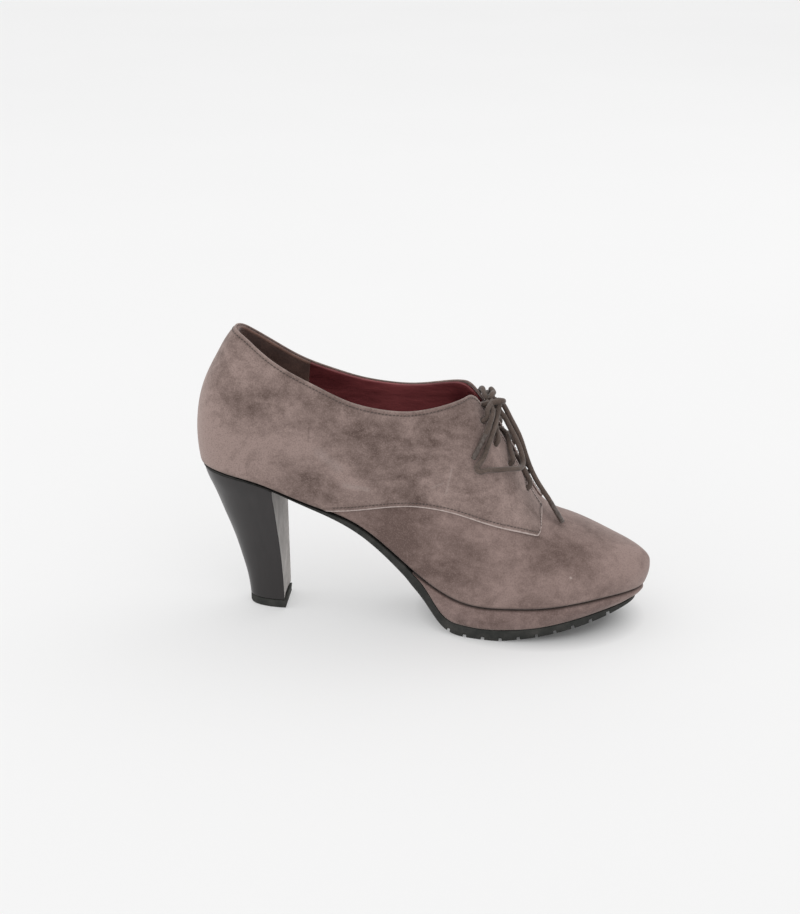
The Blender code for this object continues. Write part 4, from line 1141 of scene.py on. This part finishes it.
heel_turns = np.linspace(0, turn_at(BREAST_SHARE), HEEL_RING)
seat_rows = outline(heel_turns, np.full(HEEL_RING, -HEEL_MARGIN), lambda turn: outsole_bottom(turn) - GAP)
tread_x, tread_y = tread_rows(HEEL_RING)
heel_base = TOP_PIECE + GAP
rings = []
for part in np.linspace(1, 0, HEEL_LAYERS):
    flare_back = smooth(HEEL[:, 0], HEEL[:, 1], part)
    flare_side = smooth(HEEL[:, 0], HEEL[:, 2], part)
    rows = []
    for side, seat in zip((-1.0, 1.0), seat_rows):
        x = tread_x + (seat[:, 0] - tread_x) * flare_back
        y = side * tread_y + (seat[:, 1] - side * tread_y) * flare_side
        z = heel_base + (seat[:, 2] - heel_base) * part
        rows.append(np.stack([x, y, z], -1))
    across = np.linspace(0, 1, BREAST_STEPS + 2)[1:-1, None]
    breast = rows[0][-1] * (1 - across) + rows[1][-1] * across
    breast[:, 0] -= BREAST_HOLLOW * np.sin(np.pi * across[:, 0]) ** 0.7
    rings.append(np.vstack([rows[0], breast, rows[1][:0:-1]]))
ring_size = len(rings[0])
heel_faces = ring_faces(HEEL_LAYERS, ring_size)
on_breast = [int(HEEL_RING - 1 <= i < HEEL_RING + BREAST_STEPS) for i in range(ring_size)]
heel_marks = on_breast * (HEEL_LAYERS - 1)
for k in (0, HEEL_LAYERS - 1):
    heel_faces.append(tuple(k * ring_size + i for i in range(ring_size)))
    heel_marks.append(0)
heel = piece("lacquered_heel", np.vstack(rings), heel_faces, [LACQUER, BREAST], weld=False)
heel.data.polygons.foreach_set("material_index", heel_marks)
edges = bmesh.new()
edges.from_mesh(heel.data)
bmesh.ops.recalc_face_normals(edges, faces=edges.faces)
sharp = [e for e in edges.edges if len(e.link_faces) == 2 and e.calc_face_angle() > SHARP]
bmesh.ops.bevel(edges, geom=sharp, offset=HEEL_EDGE, segments=3, profile=0.5, affect="EDGES",
                clamp_overlap=True)
edges.to_mesh(heel.data)
edges.free()
heel.data.polygons.foreach_set("use_smooth", [True] * len(heel.data.polygons))
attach(heel, "root")
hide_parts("heel")

# Top piece: the dark rubber slab the heel stands on, nailed on from below and worn at its
# edges.

WORN_DEEP = 0.00022            # the far corner at the breast is chipped
WORN_LAST = 6                  # over the last points of its outline
# inset and height of each layer
SLAB_LAYERS = ((0.0006, TOP_PIECE), (0.0, TOP_PIECE - 0.0004), (0.0, 0.0012), (0.0004, 0.0003),
               (0.0010, 0.0))
top_x, top_y = tread_rows(HEEL_RING, TOP_PIECE_LIP)
ring_places = np.arange(HEEL_RING)
chipping = np.clip(ring_places - HEEL_RING + 1 + WORN_LAST, 0, 3)
worn = WORN_DEEP * chipping * np.abs(np.sin(2.3 * ring_places))
slab = []
for k, (inset, z) in enumerate(SLAB_LAYERS):
    shrink = 1 - inset / TREAD_HALF_WIDTH
    near, far = (np.stack([top_x * shrink, side * top_y * shrink, np.full(HEEL_RING, z)], -1)
                 for side in (-1.0, 1.0))
    far[:, 0] += worn * np.cos(1.7 * k) - worn / 2
    far[:, 1] -= worn
    slab.append([near, far])
top_piece = loft("heel_top_piece", slab, RUBBER)
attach(top_piece, "root")
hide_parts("top_piece")

# Lace: one round waxed cotton lace, crossed over the tongue from eyelet to eyelet and tied
# in a bow whose loops and ends fall to both sides, each end in a smoky plastic aglet.

LACE = 0.00135                 # radius
LACE_SIDES = 16
LACE_PACE = 0.0004
BRAID_LONG = 0.0026            # length of one round of the braid
BRAID_DEPTH = 0.025            # and how deep it is, as a share of the radius
BRAID_PROUD = 1.6              # how far its crests stand out, in braid depths
WRAP_SHARE = 1.12              # the turn that wraps the knot is a little fuller
AGLET_SHARE = 0.97             # the film is pressed tight
PINCHED_FROM, PINCHED_TO = 0.0150, 0.0125    # from its end, the lace narrows into the aglet
PINCHED_SHARE = 0.86
AGLET_PACE = 0.0005
OUTER_LOOP = (
    (0.1222, -0.0116, 0.1160), (0.1216, -0.0154, 0.1128),
    (0.1202, -0.0206, 0.1088), (0.1176, -0.0264, 0.1020), (0.1149, -0.0309, 0.0968),
    (0.1129, -0.0332, 0.0938), (0.1139, -0.0332, 0.0924), (0.1174, -0.0319, 0.0924),
    (0.1223, -0.0292, 0.0920), (0.1274, -0.0270, 0.0917), (0.1320, -0.0236, 0.0909),
    (0.1352, -0.0186, 0.0898), (0.1360, -0.0134, 0.0912), (0.1344, -0.0096, 0.0960),
    (0.1312, -0.0070, 0.1024), (0.1278, -0.0062, 0.1084), (0.1248, -0.0052, 0.1132),
    (0.1229, -0.0049, 0.1156),
)
INNER_LOOP = (
    (0.1194, 0.0017, 0.1230), (0.1182, 0.0054, 0.1234), (0.1178, 0.0102, 0.1214),
    (0.1184, 0.0156, 0.1186), (0.1176, 0.0224, 0.1114), (0.1150, 0.0284, 0.1034),
    (0.1122, 0.0318, 0.0980), (0.1094, 0.0318, 0.0996), (0.1086, 0.0284, 0.1058),
    (0.1102, 0.0216, 0.1134), (0.1120, 0.0148, 0.1198), (0.1130, 0.0091, 0.1227),
    (0.1138, 0.0048, 0.1234), (0.1144, 0.0018, 0.1225),
)
SHORT_END = (
    (0.1186, -0.0090, 0.1199), (0.1196, -0.0134, 0.1182), (0.1190, -0.0184, 0.1146),
    (0.1169, -0.0228, 0.1094),
)
SHORT_AGLET = ((0.1166, -0.0233, 0.1088), (0.1110, -0.0314, 0.0984))
LONG_END = (
    (0.1245, -0.0018, 0.1180), (0.1288, -0.0016, 0.1100), (0.1333, -0.0018, 0.1014),
    (0.1370, -0.0024, 0.0912), (0.1409, -0.0032, 0.0815), (0.1461, -0.0042, 0.0728),
    (0.1506, -0.0054, 0.0666),
)
LONG_AGLET = ((0.1510, -0.0059, 0.0661), (0.1576, -0.0128, 0.0578))


def route(points, pace=LACE_PACE):
    """Close points on a smooth curve through the given ones."""
    points = np.array(points, float)
    run = running(points)
    at = np.linspace(0, run[-1], max(2, round(run[-1] / pace)) + 1)
    return np.stack([smooth(run, points[:, k], at) for k in range(3)], -1)


def tube(line, radius, closed=False, braid=0.0):
    """Points and faces of a round cord along a line."""
    ahead = np.gradient(line, axis=0)
    if closed:
        ahead = np.roll(line, -1, axis=0) - np.roll(line, 1, axis=0)
    ahead /= np.linalg.norm(ahead, axis=1, keepdims=True)
    side = np.cross(ahead[0], (0.3, 0.5, 0.8))
    side /= np.linalg.norm(side)
    angles = np.linspace(0, 2 * np.pi, LACE_SIDES, endpoint=False)
    radius = np.broadcast_to(radius, len(line))
    turns = running(line) / BRAID_LONG * 2 * np.pi
    rings = []
    for i, place in enumerate(line):
        side = side - ahead[i] * (side @ ahead[i])
        side /= np.linalg.norm(side)
        other = np.cross(ahead[i], side)
        weave = np.abs(np.sin(angles * 2 + turns[i])) * np.abs(np.sin(angles * 2 - turns[i]))
        size = radius[i] * (1 - braid + BRAID_PROUD * braid * weave)[:, None]
        rings.append(place + size * (np.cos(angles)[:, None] * side + np.sin(angles)[:, None] * other))
    faces = ring_faces(len(line), LACE_SIDES, closed)
    if not closed:
        faces.append(tuple(range(LACE_SIDES))[::-1])
        faces.append(tuple((len(line) - 1) * LACE_SIDES + i for i in range(LACE_SIDES)))
    return np.vstack(rings), faces


def joined(name, parts, material):
    """One mesh of several cords."""
    points, faces = [], []
    for part_points, part_faces in parts:
        first = sum(len(p) for p in points)
        points.append(part_points)
        faces += [tuple(first + i for i in face) for face in part_faces]
    return piece(name, np.vstack(points), faces, [material], weld=False)


LACE_COTTON = finish("waxed_cotton", (0.075, 0.062, 0.050), 0.75, Sheen_Weight=0.25,
                     Sheen_Roughness=0.4, Specular_IOR_Level=0.35)
cotton_fleck = noise(LACE_COTTON, 1400.0, 3.0)
cotton_tone = span(LACE_COTTON, noise(LACE_COTTON, 130.0, 2.0), 0.3, 0.7)
cotton = mixed(LACE_COTTON, cotton_tone, (0.078, 0.054, 0.043), (0.135, 0.096, 0.078))
join(LACE_COTTON, mixed(LACE_COTTON, span(LACE_COTTON, cotton_fleck, 0.35, 0.7, 0.0, 0.6), cotton,
                        (0.030, 0.025, 0.020)))
dent(LACE_COTTON, (cotton_fleck, 0.00008))

# where two strands cross, the one on top is higher over the vamp
OVER_TOP, OVER_LOW = 0.0013, -0.0012
UNDER_HOLE, IN_HOLE, OVER_HOLE = -0.0022, 0.0004, 0.0028


def strand(low, high, side, over):
    """Route of one crossing: up through an eyelet, over its facing, across the gap, under
    the other facing and into the next eyelet. Rows are the share of the way, the distance
    from the middle plane and the height over the vamp."""
    low_y, high_y = low[1] * BALL_WIDTH, high[1] * BALL_WIDTH
    rows = (
        (0.00, side * low_y, UNDER_HOLE), (0.00, side * low_y, IN_HOLE),
        (0.02, side * (low_y - 0.0004), 0.0026), (0.13, side * (low_y - 0.0035), 0.0030),
        (0.30, side * 0.0062, 0.0022), (0.50, 0.0, over), (0.68, -side * 0.0052, -0.0016),
        (0.84, -side * (high_y - 0.0045), -0.0036), (0.96, -side * (high_y - 0.0008), -0.0038),
    )
    points = []
    for part, y, lift in rows:
        turn = turn_at(low[0] + (high[0] - low[0]) * part)
        points.append(raised(turn, at_distance(turn, -1.0 if y < 0 else 1.0, abs(y)), lift))
    return points


# from the top eyelet of each side into the knot
TO_KNOT = {
    -1.0: [(0.1170, -0.0152, 0.1182), (0.1182, -0.0110, 0.1205), (0.1192, -0.0066, 0.1212)],
    1.0: [(0.1160, 0.0150, 0.1180), (0.1160, 0.0108, 0.1196), (0.1176, 0.0050, 0.1204),
          (0.1188, 0.0010, 0.1204)],
}
crossing_parts = []
for side in (-1.0, 1.0):
    points = []
    now = side
    for k, (low, high) in enumerate(zip(EYELETS[:-1], EYELETS[1:])):
        over = OVER_TOP if (side < 0) == (k % 2 == 0) else OVER_LOW
        points += strand(low, high, now, over)
        now = -now
    centre, normal = eyelet_place(EYELETS[-1], now)
    points += [centre + UNDER_HOLE * normal, centre + IN_HOLE * normal]
    points.append(centre + OVER_HOLE * normal + (0.0010, -now * 0.0006, 0.0006))
    crossing_parts.append(tube(route(points + TO_KNOT[now]), LACE, braid=BRAID_DEPTH))
crossings = joined("crossed_lace", crossing_parts, LACE_COTTON)
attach(crossings, "root")
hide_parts("lace_crossings")

# the turn that wraps the knot, and the strands that it holds
WRAP = np.array(((0.1138, -0.0050, 0.1182), (0.1167, -0.0083, 0.1202), (0.1206, -0.0088, 0.1212),
                 (0.1238, -0.0073, 0.1216), (0.1246, -0.0036, 0.1202), (0.1228, 0.0002, 0.1192),
                 (0.1184, 0.0015, 0.1182), (0.1150, -0.0010, 0.1179)))
HELD = (
    ((0.1157, -0.0078, 0.1196), (0.1172, -0.0050, 0.1202), (0.1190, -0.0010, 0.1196),
     (0.1204, 0.0024, 0.1190)),
    ((0.1232, -0.0060, 0.1186), (0.1214, -0.0040, 0.1196), (0.1194, -0.0020, 0.1210),
     (0.1176, 0.0010, 0.1212)),
    ((0.1172, -0.0062, 0.1190), (0.1190, -0.0070, 0.1180), (0.1208, -0.0062, 0.1182),
     (0.1222, -0.0030, 0.1190)),
)
wound = route(np.vstack([WRAP[-3:], WRAP, WRAP[:3]]))
from_start = np.linalg.norm(wound - WRAP[0], axis=1)
half_way = len(wound) // 2
once_round = wound[from_start.argmin():half_way + from_start[half_way:].argmin()]
knot = joined("bow_knot", [tube(once_round, LACE * WRAP_SHARE, closed=True, braid=BRAID_DEPTH)]
              + [tube(route(held), LACE, braid=BRAID_DEPTH) for held in HELD], LACE_COTTON)
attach(knot, "root")
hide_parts("lace_knot")

AGLET_FILM = finish("smoky_film", (0.110, 0.085, 0.075), 0.40, Coat_Weight=0.15, Coat_Roughness=0.20,
                    Specular_IOR_Level=0.3)
film_cloud = span(AGLET_FILM, noise(AGLET_FILM, 600.0, 3.0), 0.40, 0.65)
join(AGLET_FILM, mixed(AGLET_FILM, film_cloud, (0.062, 0.046, 0.038), (0.120, 0.098, 0.088)))

aglets = {}
for name, node, ends in (("short_aglet", "aglet_short", SHORT_AGLET),
                         ("long_aglet", "aglet_long", LONG_AGLET)):
    middle = (np.array(ends[0]) + ends[1]) / 2
    points, faces = tube(route((ends[0], middle, ends[1]), AGLET_PACE), LACE * AGLET_SHARE)
    aglets[name] = piece(name, points, faces, [AGLET_FILM], weld=False)
    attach(aglets[name], "root")
    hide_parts(node)

# each free cord: its piece, its node, what its far end is and what goes with it, and its
# path inside the knot, in the open, and back in the knot or inside its aglet
CORDS = (
    ("outer_loop", "lace_loop_outer", "knot", [knot],
     ((0.1212, -0.0040, 0.1204), (0.1226, -0.0076, 0.1198)), OUTER_LOOP, ((0.1222, -0.0046, 0.1176),)),
    ("inner_loop", "lace_loop_inner", "knot", [],
     ((0.1180, -0.0050, 0.1214), (0.1186, -0.0024, 0.1232)), INNER_LOOP,
     ((0.1154, -0.0008, 0.1216), (0.1172, -0.0028, 0.1206))),
    ("short_end", "lace_end_short", "fitting", [aglets["short_aglet"]],
     ((0.1196, -0.0052, 0.1202),), SHORT_END, SHORT_AGLET[1:]),
    ("long_end", "lace_end_long", "fitting", [aglets["long_aglet"]],
     ((0.1212, -0.0046, 0.1206), (0.1232, -0.0030, 0.1198)), LONG_END, LONG_AGLET[1:]),
)
for name, node, far_end, others, start, middle, end in CORDS:
    line = route(start + middle + end)
    run = running(line)
    pinched = np.interp(run[-1] - run, (PINCHED_TO, PINCHED_FROM), (PINCHED_SHARE, 1.0))
    points, faces = tube(line, LACE * (pinched if far_end == "fitting" else 1.0), braid=BRAID_DEPTH)
    cord = piece(name, points, faces, [LACE_COTTON], weld=False)
    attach(cord, "root")
    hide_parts(node)
